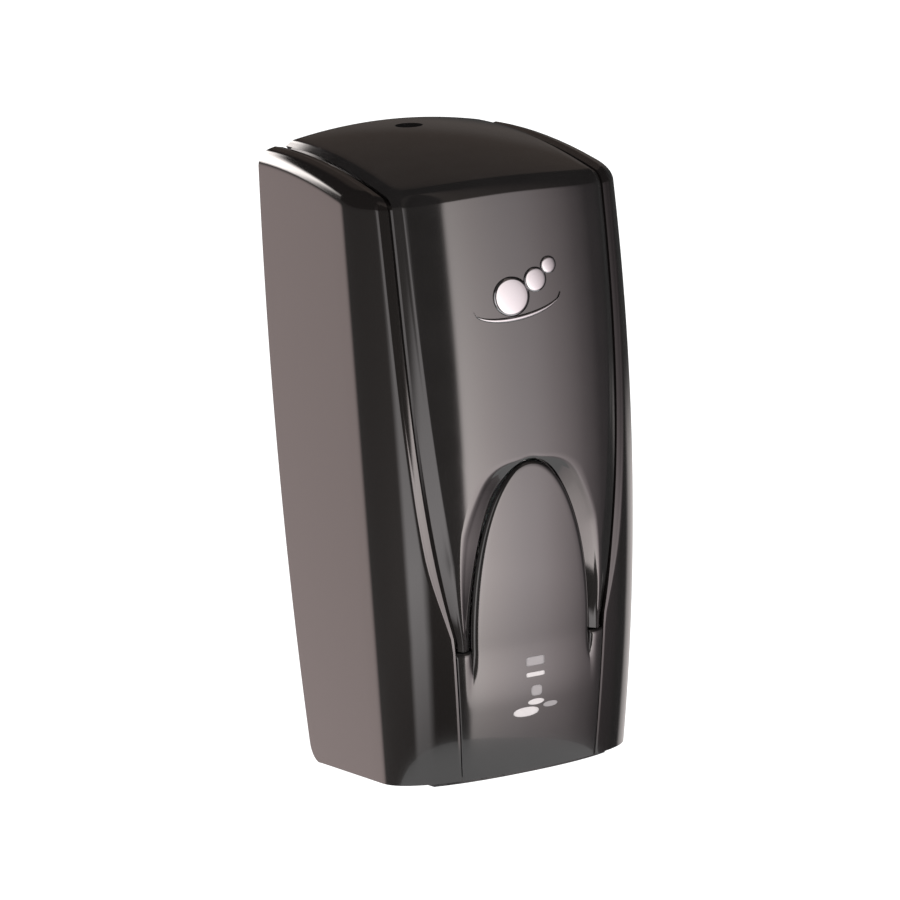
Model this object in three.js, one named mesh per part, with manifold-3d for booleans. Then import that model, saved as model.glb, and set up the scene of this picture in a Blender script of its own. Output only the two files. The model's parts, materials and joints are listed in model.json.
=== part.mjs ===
// Wall-mounted touch-free foam soap dispenser, in millimetres, +Z up.
// Origin: the centre of the flat face that lies on the wall. +X is to the viewer's right, +Y goes into
// the wall, so the dispenser stands out towards -Y. The front cover hangs on two pins at its lower rear
// corners. Behind it sit the soap pouch with its foam pump, the battery box and the drive unit, whose
// motor lifts a fork through two compound gears and a rack, and so strokes the pump.
import * as THREE from 'three';
import { mergeVertices } from 'three/addons/utils/BufferGeometryUtils.js';
import Module from 'manifold-3d';

const wasm = await Module();
wasm.setup();

// ---------------------------------------------------------------- driving dimensions
const CREST = 137;             // highest point of the cover, at the rear centre of its top
const COVER_BOTTOM = -143;     // lower edge of the cover, at the depth of its middle's front
const FOOT_SLOPE = 0.128;      // and how much that edge falls for each millimetre towards the wall
const REAR_GAP = 1.2;          // from the cover's rear edge to the wall
const SKIN = 2.8;              // thickness of the cover
const FIT = 0.35;              // gap between neighbouring pieces

// the cover's outer form: its half width and depth at mid height, how much each grows towards the crest,
// and how much each draws in towards both ends
const HALF_WIDTH = { middle: 65.4, lean: 2, pinch: 3.2 };
const DEPTH = { middle: 132, lean: 2, pinch: 11 };
const SIDE_SHARE = 0.72;       // share of the depth that the flat sides reach
const BOW = 2.3;               // exponent of the bowed front in plan
const TOP_ARCH = 9;            // how far the top falls from its middle to its sides
const TOP_FALL = 18;           // and from its rear edge to the front
const TOP_ROUND = 6;           // radius of the edge between walls and top
const REAR_BOTTOM = footEdge(-REAR_GAP), UNDER = REAR_BOTTOM - 3;
const WALL_ROWS = 8, ROUND_ROWS = 3, TOP_ROWS = 4, FRONT_COLUMNS = 20;

// the shield and the thumb panel, seen from the front
const SHIELD_HALF = 51.8, TIP_HALF = 36.5, TIP_Z = -80, SHIELD_TAPER = 3.4;
const ARCH_HALF = 29.5, ARCH_RISE = 79, TIP_END = -84;
const SEAM_FOOT_HALF = 33.3, SEAM_FOOT = COVER_BOTTOM - 5;
const SHIELD_THICK = 3.8, BACKING_FRONT = 4.3, BACKING_REAR = 6.6;
const GROOVE_DROP = 2.2, GROOVE_OUTER = 3.8, GROOVE_INNER = 6, ARCH_BEVEL = 9, ARCH_DROP = 3;
const PANEL_THICK = 2.6, PANEL_RECESS = 1;

// the cover's hinge and its lock
const HINGE_Y = -9, HINGE_Z = -151, HINGE_PIN_R = 2, KNUCKLE_R = 5.4, KNUCKLE_START = 52.4;
const LOCK_Y = -26, LOCK_R = 6, LOCK_TOP = 133;

// the pump, and the fork that strokes it
const PUMP_Y = -80, STROKE = 12;
const STEM_R = 7, FLANGE_R = 14, FLANGE_Z = -98, FLANGE_THICK = 2.6;
const FORK_TOP = FLANGE_Z - FIT, FORK_THICK = 4;
const ROD_X = 8, ROD_Y = -46, ROD_R = 2;

// gear train: teeth, modules and centres in the XZ plane; every axis lies along Y
const PRESSURE = THREE.MathUtils.degToRad(20), ADDENDUM = 0.8, DEDENDUM = 1.05, BACKLASH = 0.14;
const COARSE = 0.8, FINE = 0.6;
const RACK_X = -17, RACK_TEETH = 9;
const OUT_PINION = 14, OUT_WHEEL = 40, MID_PINION = 12, MID_WHEEL = 44, MOTOR_PINION = 12;
const OUT = { x: RACK_X - OUT_PINION * COARSE / 2, z: -108 };
const MID_ANGLE = THREE.MathUtils.degToRad(110), MOTOR_ANGLE = THREE.MathUtils.degToRad(125);
const MID = away(OUT, MID_ANGLE, (OUT_WHEEL + MID_PINION) * COARSE / 2);
const MOTOR = away(MID, MOTOR_ANGLE, (MID_WHEEL + MOTOR_PINION) * FINE / 2);
const AXLE_R = 1.5, AXLE_HOLE_R = 1.85, MOTOR_R = 12;

// the drive unit's housing
const UNIT_HALF = 55, UNIT_TOP = -54, UNIT_REAR = -8.6, UNIT_FRONT = -91, UNIT_SKIN = 2;
const CHANNEL_HALF = 16, CHANNEL_REAR = -58;
const FLOOR_HALF = 51, PAD_HALF = 43, OUTLET_R = 12;
// the floor's layers, as heights from the cover's lower edge: the pad stands out below it
const PAD_LAYER = [-2.1, -0.4], FLOOR_LAYER = [-0.6, 1];

// the battery box: four C cells side by side
const CELL_R = 13, CELL_LENGTH = 48.5, CELL_PITCH = 26.9, CELL_Y = -19.4, CELL_BASE = -44;
const BOX_HALF = 56, BOX_REAR = -4.3, BOX_FRONT = -34.4, BOX_BASE = -50, BOX_TOP = 8, BOX_SKIN = 1.5;

// ---------------------------------------------------------------- materials
function plastic(colour, roughness) {
  return new THREE.MeshStandardMaterial({ color: colour, roughness, metalness: 0 });
}
function metal(colour, roughness) {
  return new THREE.MeshStandardMaterial({ color: colour, roughness, metalness: 1 });
}
const glossBlack = plastic(0x1c1a1b, 0.16);
const pearlBlack = plastic(0x2b292c, 0.2);
const mattBlack = plastic(0x202022, 0.55);
const darkGrey = plastic(0x3a3b3e, 0.5);
const white = plastic(0xe9e8e2, 0.4);
const film = plastic(0xdfe3e2, 0.3);
const nylon = plastic(0xe6e0cd, 0.45);
const boardGreen = plastic(0x1c5a3a, 0.45);
const chipBlack = plastic(0x17171a, 0.5);
const cellSleeve = plastic(0x2d2f33, 0.35);
const smokedRed = plastic(0x3a0d10, 0.1);
const clearLens = plastic(0xcfd6e2, 0.08);
const redWire = plastic(0xb3211c, 0.45);
const blackWire = plastic(0x141414, 0.45);
const steel = metal(0xb9bcc0, 0.3);
const brass = metal(0xc9a54e, 0.35);

// ---------------------------------------------------------------- tools
const dispenser = new THREE.Group();

function away(from, angle, distance) {
  return { x: from.x + distance * Math.cos(angle), z: from.z + distance * Math.sin(angle) };
}

// the height of the cover's sloping lower edge at a depth
function footEdge(y) {
  return COVER_BOTTOM - FOOT_SLOPE * (y + DEPTH.middle);
}

// a closed geometry as a manifold-3d solid
function solid(geometry) {
  const bare = geometry.clone();
  bare.deleteAttribute('normal');
  bare.deleteAttribute('uv');
  const merged = mergeVertices(bare, 1e-4);
  return new wasm.Manifold(new wasm.Mesh({
    numProp: 3,
    vertProperties: merged.attributes.position.array,
    triVerts: new Uint32Array(merged.index.array),
  }));
}

function geometryOf(made) {
  const { numVert, numProp, vertProperties, triVerts } = made.getMesh();
  const position = new Float32Array(numVert * 3);
  for (let i = 0; i < numVert; i++) {
    position.set(vertProperties.subarray(i * numProp, i * numProp + 3), i * 3);
  }
  const geometry = new THREE.BufferGeometry();
  geometry.setAttribute('position', new THREE.BufferAttribute(position, 3));
  geometry.setIndex(new THREE.BufferAttribute(triVerts, 1));
  geometry.computeVertexNormals();
  return geometry;
}

// adds one named piece; it is made in place unless a position is given
function piece(name, shape, material, position = [0, 0, 0]) {
  const mesh = new THREE.Mesh(shape.isBufferGeometry ? shape : geometryOf(shape), material);
  mesh.name = name;
  mesh.position.set(...position);
  dispenser.add(mesh);
  return mesh;
}

// a block between two values on each axis, given in either order
function block([x0, x1], [y0, y1], [z0, z1]) {
  const geometry = new THREE.BoxGeometry(Math.abs(x1 - x0), Math.abs(y1 - y0), Math.abs(z1 - z0));
  return solid(geometry.translate((x0 + x1) / 2, (y0 + y1) / 2, (z0 + z1) / 2));
}

function mirrored(made) {
  return made.add(made.mirror([1, 0, 0]));
}

const TURN_TO = {
  x: (g) => g.rotateZ(-Math.PI / 2),
  y: (g) => g,
  z: (g) => g.rotateX(Math.PI / 2),
};

// a round bar along an axis through a point, between two values on that axis; r1 is the radius at `to`
function bar(axis, [x, y, z], r, from, to, sides = 16, r1 = r) {
  const geometry = TURN_TO[axis](new THREE.CylinderGeometry(r1, r, to - from, sides));
  const middle = { x, y, z, [axis]: (from + to) / 2 };
  return solid(geometry.translate(middle.x, middle.y, middle.z));
}

// a front-view outline, as [x, z] points, drawn out between two depths along Y
function prism(points, rear, front) {
  const shape = new THREE.Shape(points.map(([x, z]) => new THREE.Vector2(x, z)));
  const geometry = new THREE.ExtrudeGeometry(shape, { depth: rear - front, bevelEnabled: false });
  return solid(geometry.rotateX(Math.PI / 2).translate(0, rear, 0));
}

// a round thing about a vertical axis, from a closed [radius, z] profile
function turned(profile, sides = 24) {
  return new THREE.LatheGeometry(profile.map(([r, z]) => new THREE.Vector2(r, z)), sides)
    .rotateX(Math.PI / 2);
}

// a wire along a smooth curve through the points
function wire(points, radius, steps) {
  const route = new THREE.CatmullRomCurve3(points.map((p) => new THREE.Vector3(...p)));
  const shape = new THREE.Shape().absarc(0, 0, radius, 0, 2 * Math.PI);
  return new THREE.ExtrudeGeometry(shape, {
    steps, curveSegments: 3, extrudePath: route, bevelEnabled: false,
  });
}

// ---------------------------------------------------------------- the cover's outer form
function halfWidth(z) {
  const t = z / CREST;
  return HALF_WIDTH.middle + HALF_WIDTH.lean * t - HALF_WIDTH.pinch * t * t;
}
function frontDepth(z) {
  const t = z / CREST;
  return DEPTH.middle + DEPTH.lean * t - DEPTH.pinch * t * t;
}
function sideDepth(z) {
  return SIDE_SHARE * frontDepth(z);
}
function topHeight(x, y) {
  return CREST - TOP_ARCH * (x / 65) ** 2 - TOP_FALL * (y / 130) ** 2;
}
// how far the bowed front stands out from the wall
function surfaceDepth(x, z) {
  const side = sideDepth(z);
  return side + (frontDepth(z) - side) * (1 - Math.abs(x / halfWidth(z)) ** BOW) ** (1 / BOW);
}

// the columns of the form, from the right rear edge round the front to the left rear edge
const columns = [
  { side: 1, share: 0 }, { side: 1, share: 0.5 },
  ...Array.from({ length: FRONT_COLUMNS + 1 }, (_, i) => ({ turn: Math.PI * i / FRONT_COLUMNS })),
  { side: -1, share: 0.5 }, { side: -1, share: 0 },
];

// a column's point at a height, with its outward normal in plan
function wallPoint(column, z, inset, rear) {
  const half = halfWidth(z) - inset, side = sideDepth(z), bulge = frontDepth(z) - inset - side;
  if (column.side) {
    return { x: column.side * half, y: rear + (-side - rear) * column.share, nx: column.side, ny: 0 };
  }
  const c = Math.cos(column.turn), s = Math.max(0, Math.sin(column.turn));
  const across = Math.sign(c) * Math.abs(c) ** (2 / BOW), out = s ** (2 / BOW);
  const gx = Math.sign(c) * Math.abs(across) ** (BOW - 1) / half, gy = out ** (BOW - 1) / bulge;
  const length = Math.hypot(gx, gy);
  return { x: half * across, y: -(side + bulge * out), nx: gx / length, ny: -gy / length };
}

// the whole form as one closed body, its walls and top moved in by `inset`
function form(inset, rear, bottom) {
  const round = Math.max(TOP_ROUND - inset, 1);
  const rows = Array.from({ length: WALL_ROWS + 1 + ROUND_ROWS + TOP_ROWS - 1 }, () => []);
  for (const column of columns) {
    let edge = CREST, at;
    for (let k = 0; k < 5; k++) {
      at = wallPoint(column, edge, inset, rear);
      edge = topHeight(at.x, at.y) - inset - round;
    }
    for (let k = 0; k <= WALL_ROWS; k++) {
      const z = bottom + (edge - bottom) * k / WALL_ROWS;
      const p = wallPoint(column, z, inset, rear);
      rows[k].push([p.x, p.y, z]);
    }
    at = wallPoint(column, edge, inset, rear);
    let inner;
    for (let k = 1; k <= ROUND_ROWS; k++) {
      const a = k / ROUND_ROWS * Math.PI / 2, d = round * (1 - Math.cos(a));
      inner = [at.x - at.nx * d, at.y - at.ny * d];
      rows[WALL_ROWS + k].push([...inner, topHeight(...inner) - inset - round * (1 - Math.sin(a))]);
    }
    for (let k = 1; k < TOP_ROWS; k++) {
      const x = inner[0] * (1 - k / TOP_ROWS), y = inner[1] + (rear - inner[1]) * k / TOP_ROWS;
      rows[WALL_ROWS + ROUND_ROWS + k].push([x, y, topHeight(x, y) - inset]);
    }
  }
  const wide = columns.length, points = rows.flat(), faces = [];
  const at = (j, i) => j * wide + i;
  const pole = points.push([0, rear, topHeight(0, rear) - inset]) - 1;
  const middle = points.push([0, -60, bottom]) - 1;
  for (let j = 0; j + 1 < rows.length; j++) {
    for (let i = 0; i + 1 < wide; i++) {
      faces.push(at(j, i), at(j + 1, i + 1), at(j, i + 1), at(j, i), at(j + 1, i), at(j + 1, i + 1));
    }
    faces.push(at(j, 0), at(j, wide - 1), at(j + 1, wide - 1), at(j, 0), at(j + 1, wide - 1), at(j + 1, 0));
  }
  const last = rows.length - 1;
  for (let i = 0; i + 1 < wide; i++) {
    faces.push(at(last, i), pole, at(last, i + 1));
    faces.push(middle, at(0, i), at(0, i + 1));
  }
  faces.push(at(last, 0), at(last, wide - 1), pole, middle, at(0, wide - 1), at(0, 0));
  const geometry = new THREE.BufferGeometry();
  geometry.setAttribute('position', new THREE.Float32BufferAttribute(points.flat(), 3));
  geometry.setIndex(faces);
  return solid(geometry);
}

// a curved plate across the front: `depthAt` gives its front face, and it is `thick` behind that
function frontPlate(half, low, high, depthAt, thick, wide = 14, tall = 10) {
  const points = [], faces = [];
  for (const back of [0, thick]) {
    for (let j = 0; j <= tall; j++) {
      for (let i = 0; i <= wide; i++) {
        const x = half * (2 * i / wide - 1), z = low + (high - low) * j / tall;
        points.push(x, back - depthAt(x, z), z);
      }
    }
  }
  const rear = (wide + 1) * (tall + 1), at = (j, i) => j * (wide + 1) + i;
  const quad = (a, b, c, d) => faces.push(a, b, c, a, c, d);
  for (let j = 0; j < tall; j++) {
    for (let i = 0; i < wide; i++) {
      quad(at(j, i), at(j, i + 1), at(j + 1, i + 1), at(j + 1, i));
      quad(rear + at(j, i), rear + at(j + 1, i), rear + at(j + 1, i + 1), rear + at(j, i + 1));
    }
    quad(at(j, 0), at(j + 1, 0), rear + at(j + 1, 0), rear + at(j, 0));
    quad(at(j, wide), rear + at(j, wide), rear + at(j + 1, wide), at(j + 1, wide));
  }
  for (let i = 0; i < wide; i++) {
    quad(at(0, i), rear + at(0, i), rear + at(0, i + 1), at(0, i + 1));
    quad(at(tall, i), at(tall, i + 1), rear + at(tall, i + 1), rear + at(tall, i));
  }
  const geometry = new THREE.BufferGeometry();
  geometry.setAttribute('position', new THREE.Float32BufferAttribute(points, 3));
  geometry.setIndex(faces);
  return solid(geometry);
}

// ---------------------------------------------------------------- front-view outlines
// half the shield's width at a height: it narrows slowly at first, then quickly towards the tips
function shieldHalf(z) {
  const down = Math.max(0, (CREST - z) / (CREST - TIP_Z));
  return SHIELD_HALF - (SHIELD_HALF - TIP_HALF) * down ** SHIELD_TAPER;
}

// the arch over the thumb panel, from its left foot over the top to its right foot
function archPoints(grow, foot) {
  const a = ARCH_HALF + grow, b = ARCH_RISE + grow;
  const start = Math.asin(Math.max(-1, (foot - TIP_Z) / b));
  return Array.from({ length: 25 }, (_, i) => {
    const turn = Math.PI - start + (2 * start - Math.PI) * i / 24;
    return [a * Math.cos(turn), TIP_Z + b * Math.sin(turn)];
  });
}

// the shield: wide over the top and down to a pointed leg on each side of the arch
function shieldOutline(grow) {
  const right = Array.from({ length: 13 }, (_, i) => {
    const z = CREST + (TIP_Z - CREST) * i / 12;
    return [shieldHalf(z) + grow, z];
  });
  const foot = TIP_END - grow;
  const left = right.map(([x, z]) => [-x, z]).reverse();
  return [
    [SHIELD_HALF + grow, CREST + 20], ...right, [TIP_HALF - 1.5 + grow, foot],
    ...archPoints(-grow, foot).reverse(),
    [-(TIP_HALF - 1.5 + grow), foot], ...left, [-(SHIELD_HALF + grow), CREST + 20],
  ];
}

// the thumb panel: an arch standing on a wider foot that reaches the cover's lower edge
function panelOutline(grow, bottom) {
  const shoulder = TIP_END - FIT + grow;
  return [
    [-(SEAM_FOOT_HALF + grow), bottom], [-(TIP_HALF + grow), shoulder],
    ...archPoints(grow, shoulder),
    [TIP_HALF + grow, shoulder], [SEAM_FOOT_HALF + grow, bottom],
  ];
}

// ---------------------------------------------------------------- bevels along the shield and the arch
// a closed body through cross sections that all have the same number of corners
function loft(sections) {
  const size = sections[0].length, last = (sections.length - 1) * size, faces = [];
  for (let j = 0; j + 1 < sections.length; j++) {
    for (let i = 0; i < size; i++) {
      const a = j * size + i, b = j * size + (i + 1) % size;
      faces.push(a, b, b + size, a, b + size, a + size);
    }
  }
  for (let i = 1; i + 1 < size; i++) faces.push(0, i + 1, i, last, last + i, last + i + 1);
  const geometry = new THREE.BufferGeometry();
  geometry.setAttribute('position', new THREE.Float32BufferAttribute(sections.flat(2), 3));
  geometry.setIndex(faces);
  const made = solid(geometry);
  if (made.volume() > 0) return made;
  geometry.setIndex(faces.reverse());
  return solid(geometry);
}

// a point on or above the cover's surface: `run` goes along the top from the wall (0) to the front edge
// (1), round that edge (to 2) and down the front to `low` (3)
function surfaceAt(x, run, low, lift) {
  const depth = surfaceDepth(x, CREST - 14) - TOP_ROUND, edge = topHeight(x, -depth) - TOP_ROUND;
  if (run <= 1) {
    const y = 1 - (depth + 1) * run;
    return [x, y, topHeight(x, y) + lift];
  }
  if (run <= 2) {
    const a = (run - 1) * Math.PI / 2, r = TOP_ROUND + lift;
    return [x, -depth - r * Math.sin(a), edge + r * Math.cos(a)];
  }
  const z = edge + (low - edge) * (run - 2), slope = surfaceDepth(x + 0.5, z) - surfaceDepth(x - 0.5, z);
  const step = lift / Math.hypot(slope, 1);
  return [x - slope * step, -surfaceDepth(x, z) - step, z];
}

// the cutter for the V groove between the shield and the flanks, over the top and down the front
function grooveCutter() {
  const low = TIP_END - 5, runs = [0, 0.5, 1, 1.5];
  for (let i = 0; i <= 12; i++) runs.push(2 + i / 12);
  return loft(runs.map((run) => {
    const down = Math.max(0, run - 2), z = CREST - 20 + (low - CREST + 20) * down;
    const x = shieldHalf(run < 2 ? CREST : z), inner = GROOVE_INNER + 4 * down;
    const corner = (dx, lift) => surfaceAt(x + dx, run, low, lift);
    return [corner(-inner, 3), corner(-inner, 0.05), corner(0, -GROOVE_DROP),
      corner(GROOVE_OUTER, 0.05), corner(GROOVE_OUTER, 3)];
  }));
}

// the cutter for the wide bevel round the arch
function archCutter() {
  const inner = archPoints(-1.5, TIP_END - 5), outer = archPoints(ARCH_BEVEL, TIP_END - 5);
  return loft(inner.map(([xi, zi], i) => {
    const [xo, zo] = outer[i], corner = (x, z, lift) => [x, -surfaceDepth(x, z) - lift, z];
    return [corner(xi, zi, 3), corner(xi, zi, -ARCH_DROP), corner(xo, zo, 0.05), corner(xo, zo, 3)];
  }));
}

// ---------------------------------------------------------------- cover assembly
// a slab parallel to the cover's sloping lower edge, between two heights from it
function footSlab(low, high) {
  const back = 20, front = -160;
  return loft([-80, 80].map((x) => [[x, back, footEdge(back) + low], [x, front, footEdge(front) + low],
    [x, front, footEdge(front) + high], [x, back, footEdge(back) + high]]));
}

const grooves = mirrored(grooveCutter());

function knuckle() {
  const reach = halfWidth(HINGE_Z) - SKIN + 0.4;
  return bar('x', [0, HINGE_Y, HINGE_Z], KNUCKLE_R, KNUCKLE_START, reach, 20);
}

function frontCover() {
  const behind = 3, whole = form(0, -REAR_GAP, REAR_BOTTOM);
  // a thin shell, thickened where it carries the shield in a shallow pocket
  const thick = whole.subtract(form(BACKING_REAR, behind, UNDER)).intersect(prism(shieldOutline(3), 0, -150));
  const pocket = prism(shieldOutline(0), behind, -150).subtract(form(BACKING_FRONT, behind, UNDER));
  let cover = whole.subtract(form(SKIN, behind, UNDER)).add(thick).subtract(pocket).subtract(grooves);
  cover = cover.subtract(prism(panelOutline(0.1, SEAM_FOOT), behind, -150)).subtract(footSlab(-80, 0));
  // knuckles for the hinge pins, and lower rear corners rounded about the hinge
  cover = cover.add(mirrored(knuckle()));
  const corner = block([-70, 70], [HINGE_Y, behind], [UNDER, HINGE_Z])
    .subtract(bar('x', [0, HINGE_Y, HINGE_Z], -REAR_GAP - HINGE_Y, -71, 71, 32));
  cover = cover.subtract(corner);
  cover = cover.subtract(mirrored(bar('x', [0, HINGE_Y, HINGE_Z], HINGE_PIN_R + FIT, 40, 58.5, 16)));
  // the hole that the lock's barrel goes through
  return cover.subtract(bar('z', [0, LOCK_Y, 0], LOCK_R + FIT, 100, 150, 24));
}

function shield() {
  return form(0, -REAR_GAP, REAR_BOTTOM)
    .subtract(form(SHIELD_THICK, 3, UNDER))
    .intersect(prism(shieldOutline(-FIT), 0, -150))
    .subtract(grooves).subtract(archCutter())
    .subtract(bar('z', [0, LOCK_Y, 0], LOCK_R + FIT, 100, 150, 24));
}

// the thumb panel lies a little deeper inside the arch and comes flush at the foot
function thumbPanel() {
  const recess = (z) => PANEL_RECESS * THREE.MathUtils.smoothstep(z, -112, -82);
  return frontPlate(40, SEAM_FOOT, 2, (x, z) => surfaceDepth(x, z) - recess(z), PANEL_THICK)
    .intersect(prism(panelOutline(-FIT, SEAM_FOOT), 0, -150))
    .subtract(footSlab(-80, 0));
}

// a raised badge on the shield: three bubbles on a curved line
const BUBBLES = [[-4, 71, 8.6], [8, 77, 5.4], [15, 82.5, 3.8]];
function badge() {
  const line = (t, drop) => [-1 + 21 * t, 68.2 - drop * Math.sqrt(1 - t * t) + 2 * t];
  const steps = Array.from({ length: 13 }, (_, i) => i / 6 - 1);
  const lower = steps.map((t) => line(t, 7.8)), upper = steps.slice(1, -1).reverse().map((t) => line(t, 4.8));
  let outline = prism([...lower, ...upper], 0, -150);
  for (const [x, z, r] of BUBBLES) outline = outline.add(bar('y', [x, 0, z], r, -150, 0, 16));
  return frontPlate(24, 50, 92, (x, z) => surfaceDepth(x, z) + 0.8, 0.6, 12, 6).intersect(outline);
}

piece('front_cover', frontCover(), glossBlack);
piece('shield', shield(), pearlBlack);
piece('thumb_panel', thumbPanel(), pearlBlack);
piece('badge', badge(), steel);

// ---------------------------------------------------------------- lock
// The key turns the plug and its cam. The cam points at the wall when it is unlocked, and swings to +X,
// behind the lip of the back plate's strike, when it is locked.
const CAM_TOP = 119.6, CAM_THICK = 2, CAM_REACH = 15;

function lockBarrel() {
  const body = bar('z', [0, LOCK_Y, 0], LOCK_R, 121.5, LOCK_TOP, 24);
  const nut = bar('z', [0, LOCK_Y, 0], 9, 125.8, 128.8, 6);
  return body.add(nut).subtract(bar('z', [0, LOCK_Y, 0], 3.9, 110, 140, 24));
}

function lockPlug() {
  const plug = bar('z', [0, LOCK_Y, 0], 3.5, CAM_TOP - 0.5, LOCK_TOP - 0.4, 24);
  const arm = block([-4, 4], [LOCK_Y - 4, LOCK_Y + CAM_REACH], [CAM_TOP - CAM_THICK, CAM_TOP]);
  const keyway = block([-0.7, 0.7], [LOCK_Y - 2.4, LOCK_Y + 2.4], [LOCK_TOP - 6, LOCK_TOP + 1]);
  return plug.add(arm).subtract(keyway);
}

piece('lock_barrel', lockBarrel(), steel);
piece('lock_plug_and_cam', lockPlug(), steel);

// ---------------------------------------------------------------- back plate
const PLATE_INSET = SKIN + 1, PLATE_THICK = 3, RIM_DEPTH = 9, RIM_SKIN = 2, RIM_TOP = 98, RIM_FOOT = -121.5,
  PLATE_BOTTOM = REAR_BOTTOM + 3;
const SCREW_HOLES = [[-38, 108], [38, 108], [-38, 58], [38, 58]];
const STRIKE_X = [9, 22], STRIKE_LIP = [-33.5, -31];

function backPlate() {
  // the rim stops short of the hinge at the foot, and of the shield's backing at the head
  const tray = form(PLATE_INSET, 0, PLATE_BOTTOM)
    .subtract(form(PLATE_INSET + RIM_SKIN, -PLATE_THICK, PLATE_BOTTOM - 3))
    .intersect(block([-70, 70], [0, -RIM_DEPTH], [PLATE_BOTTOM, RIM_TOP]))
    .subtract(block([-70, 70], [-PLATE_THICK, -20], [UNDER, RIM_FOOT]));
  const head = form(BACKING_REAR + 1, 0, PLATE_BOTTOM)
    .intersect(block([-70, 70], [0, -PLATE_THICK], [RIM_TOP - 1, 150]));
  let plate = tray.add(head);
  for (const [x, z] of SCREW_HOLES) {
    plate = plate.add(bar('y', [x, 0, z], 7, -PLATE_THICK - 1.5, -PLATE_THICK + 0.5, 20))
      .subtract(bar('y', [x, 0, z], 2.6, -10, 1, 16));
  }
  // strike for the lock's cam: an arm out from the plate with a lip turned in at its end
  const arm = block([STRIKE_X[1] - 2.4, STRIKE_X[1]], [-1, STRIKE_LIP[0]], [108, 124]);
  const lip = block(STRIKE_X, STRIKE_LIP, [114, 124]);
  // ears that hold the hinge pins
  const ear = block([47.6, 51.6], [-1, HINGE_Y - 6], [PLATE_BOTTOM, HINGE_Z + 8]);
  const pinHoles = mirrored(bar('x', [0, HINGE_Y, HINGE_Z], HINGE_PIN_R + FIT, 40, 58, 16));
  return plate.add(arm).add(lip).add(mirrored(ear)).subtract(pinHoles);
}

piece('back_plate', backPlate(), darkGrey);
for (const [name, sign] of [['hinge_pin_left', -1], ['hinge_pin_right', 1]]) {
  const ends = sign > 0 ? [46.5, 58] : [-58, -46.5];
  piece(name, bar('x', [0, HINGE_Y, HINGE_Z], HINGE_PIN_R, ...ends, 16), steel);
}

// ---------------------------------------------------------------- drive unit: base, housing and floor
const BASE_REAR = -3.4;
const BRACKETS = [[-135.6, -132.6], [-68, -65]];
const BOARD_REAR = -30, BOARD_THICK = 1.6, BOARD_FRONT = BOARD_REAR - BOARD_THICK;
const BOARD_POSTS = [[20.5, -66], [43.5, -66], [20.5, -119], [43.5, -119]];
const FORK_SLOT = [FORK_TOP - FORK_THICK - 1, FORK_TOP + STROKE + 1];
const SENSOR_X = [21, 45], SENSOR_Y = [-66, -84];
const UNIT_SCREWS = [[-48, -62], [48, -62], [-48, -128], [48, -128]];

function driveBase() {
  let base = block([-46, 46], [BASE_REAR, -6], [-134, UNIT_TOP - 1]);
  for (const [low, high] of BRACKETS) {
    base = base.add(block([-14, 14], [-4, ROD_Y - 5], [low, high]));
  }
  for (const sign of [-1, 1]) {
    base = base.subtract(bar('z', [sign * ROD_X, ROD_Y, 0], ROD_R + FIT, -134.6, -60, 16));
  }
  for (const at of [OUT, MID]) {
    base = base.add(bar('y', [at.x, 0, at.z], 3.6, -14, -5, 16))
      .subtract(bar('y', [at.x, 0, at.z], AXLE_R + FIT, -20, -7, 12));
  }
  for (const [x, z] of BOARD_POSTS) {
    base = base.add(bar('y', [x, 0, z], 2.6, BOARD_REAR + FIT, -5, 12));
  }
  return base;
}

// a layer of the floor, whose front edge follows the cover's bowed front
function floorLayer(half, [low, high]) {
  const steps = 16, points = [[-half, UNIT_REAR]];
  for (let i = 0; i <= steps; i++) {
    const x = half * (2 * i / steps - 1);
    points.push([x, SKIN + 3 - surfaceDepth(x, COVER_BOTTOM)]);
  }
  points.push([half, UNIT_REAR]);
  const shape = new THREE.Shape(points.map(([x, y]) => new THREE.Vector2(x, y)));
  const column = new THREE.ExtrudeGeometry(shape, { depth: 60, bevelEnabled: false });
  return solid(column.translate(0, 0, UNDER - 10)).intersect(footSlab(low, high));
}

// clearance for the cover's knuckles, which turn at the lower rear corners
const knuckleRoom = mirrored(block([47, 70], [UNIT_REAR + 3, HINGE_Y - 9], [UNDER - 10, HINGE_Z + 12]));

// the floor that shows under the cover: a plate with a thicker pad, the foam outlet and the sensor's window
function driveFloor() {
  return floorLayer(FLOOR_HALF, FLOOR_LAYER)
    .add(floorLayer(PAD_HALF, PAD_LAYER))
    .subtract(bar('z', [0, PUMP_Y, 0], OUTLET_R, UNDER, -120, 24))
    .subtract(block(SENSOR_X, SENSOR_Y, [UNDER, -120]))
    .subtract(knuckleRoom);
}

// a box open at its rear and foot, with a channel for the pump down its front
function driveHousing() {
  const s = UNIT_SKIN, low = UNDER;
  const outer = block([-UNIT_HALF, UNIT_HALF], [UNIT_REAR, UNIT_FRONT], [low, UNIT_TOP]);
  const inner = block([-UNIT_HALF + s, UNIT_HALF - s], [UNIT_REAR + 2, UNIT_FRONT + s],
    [low - 1, UNIT_TOP - s]);
  const channel = block([-CHANNEL_HALF, CHANNEL_HALF], [CHANNEL_REAR, UNIT_FRONT - 2], [low - 1, UNIT_TOP + 2]);
  const channelWall = block([-CHANNEL_HALF - s, CHANNEL_HALF + s], [CHANNEL_REAR + s, UNIT_FRONT],
    [low, UNIT_TOP]);
  let housing = outer.subtract(inner).add(channelWall).subtract(channel)
    .subtract(block([-15, 15], [CHANNEL_REAR - 1, CHANNEL_REAR + s + 1], FORK_SLOT))
    .subtract(knuckleRoom).subtract(footSlab(-80, FLOOR_LAYER[1] + FIT));
  for (const [x, z] of UNIT_SCREWS) {
    housing = housing.subtract(bar('y', [x, 0, z], 1.9, UNIT_FRONT - 1, UNIT_FRONT + 6, 12));
  }
  return housing;
}

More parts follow.
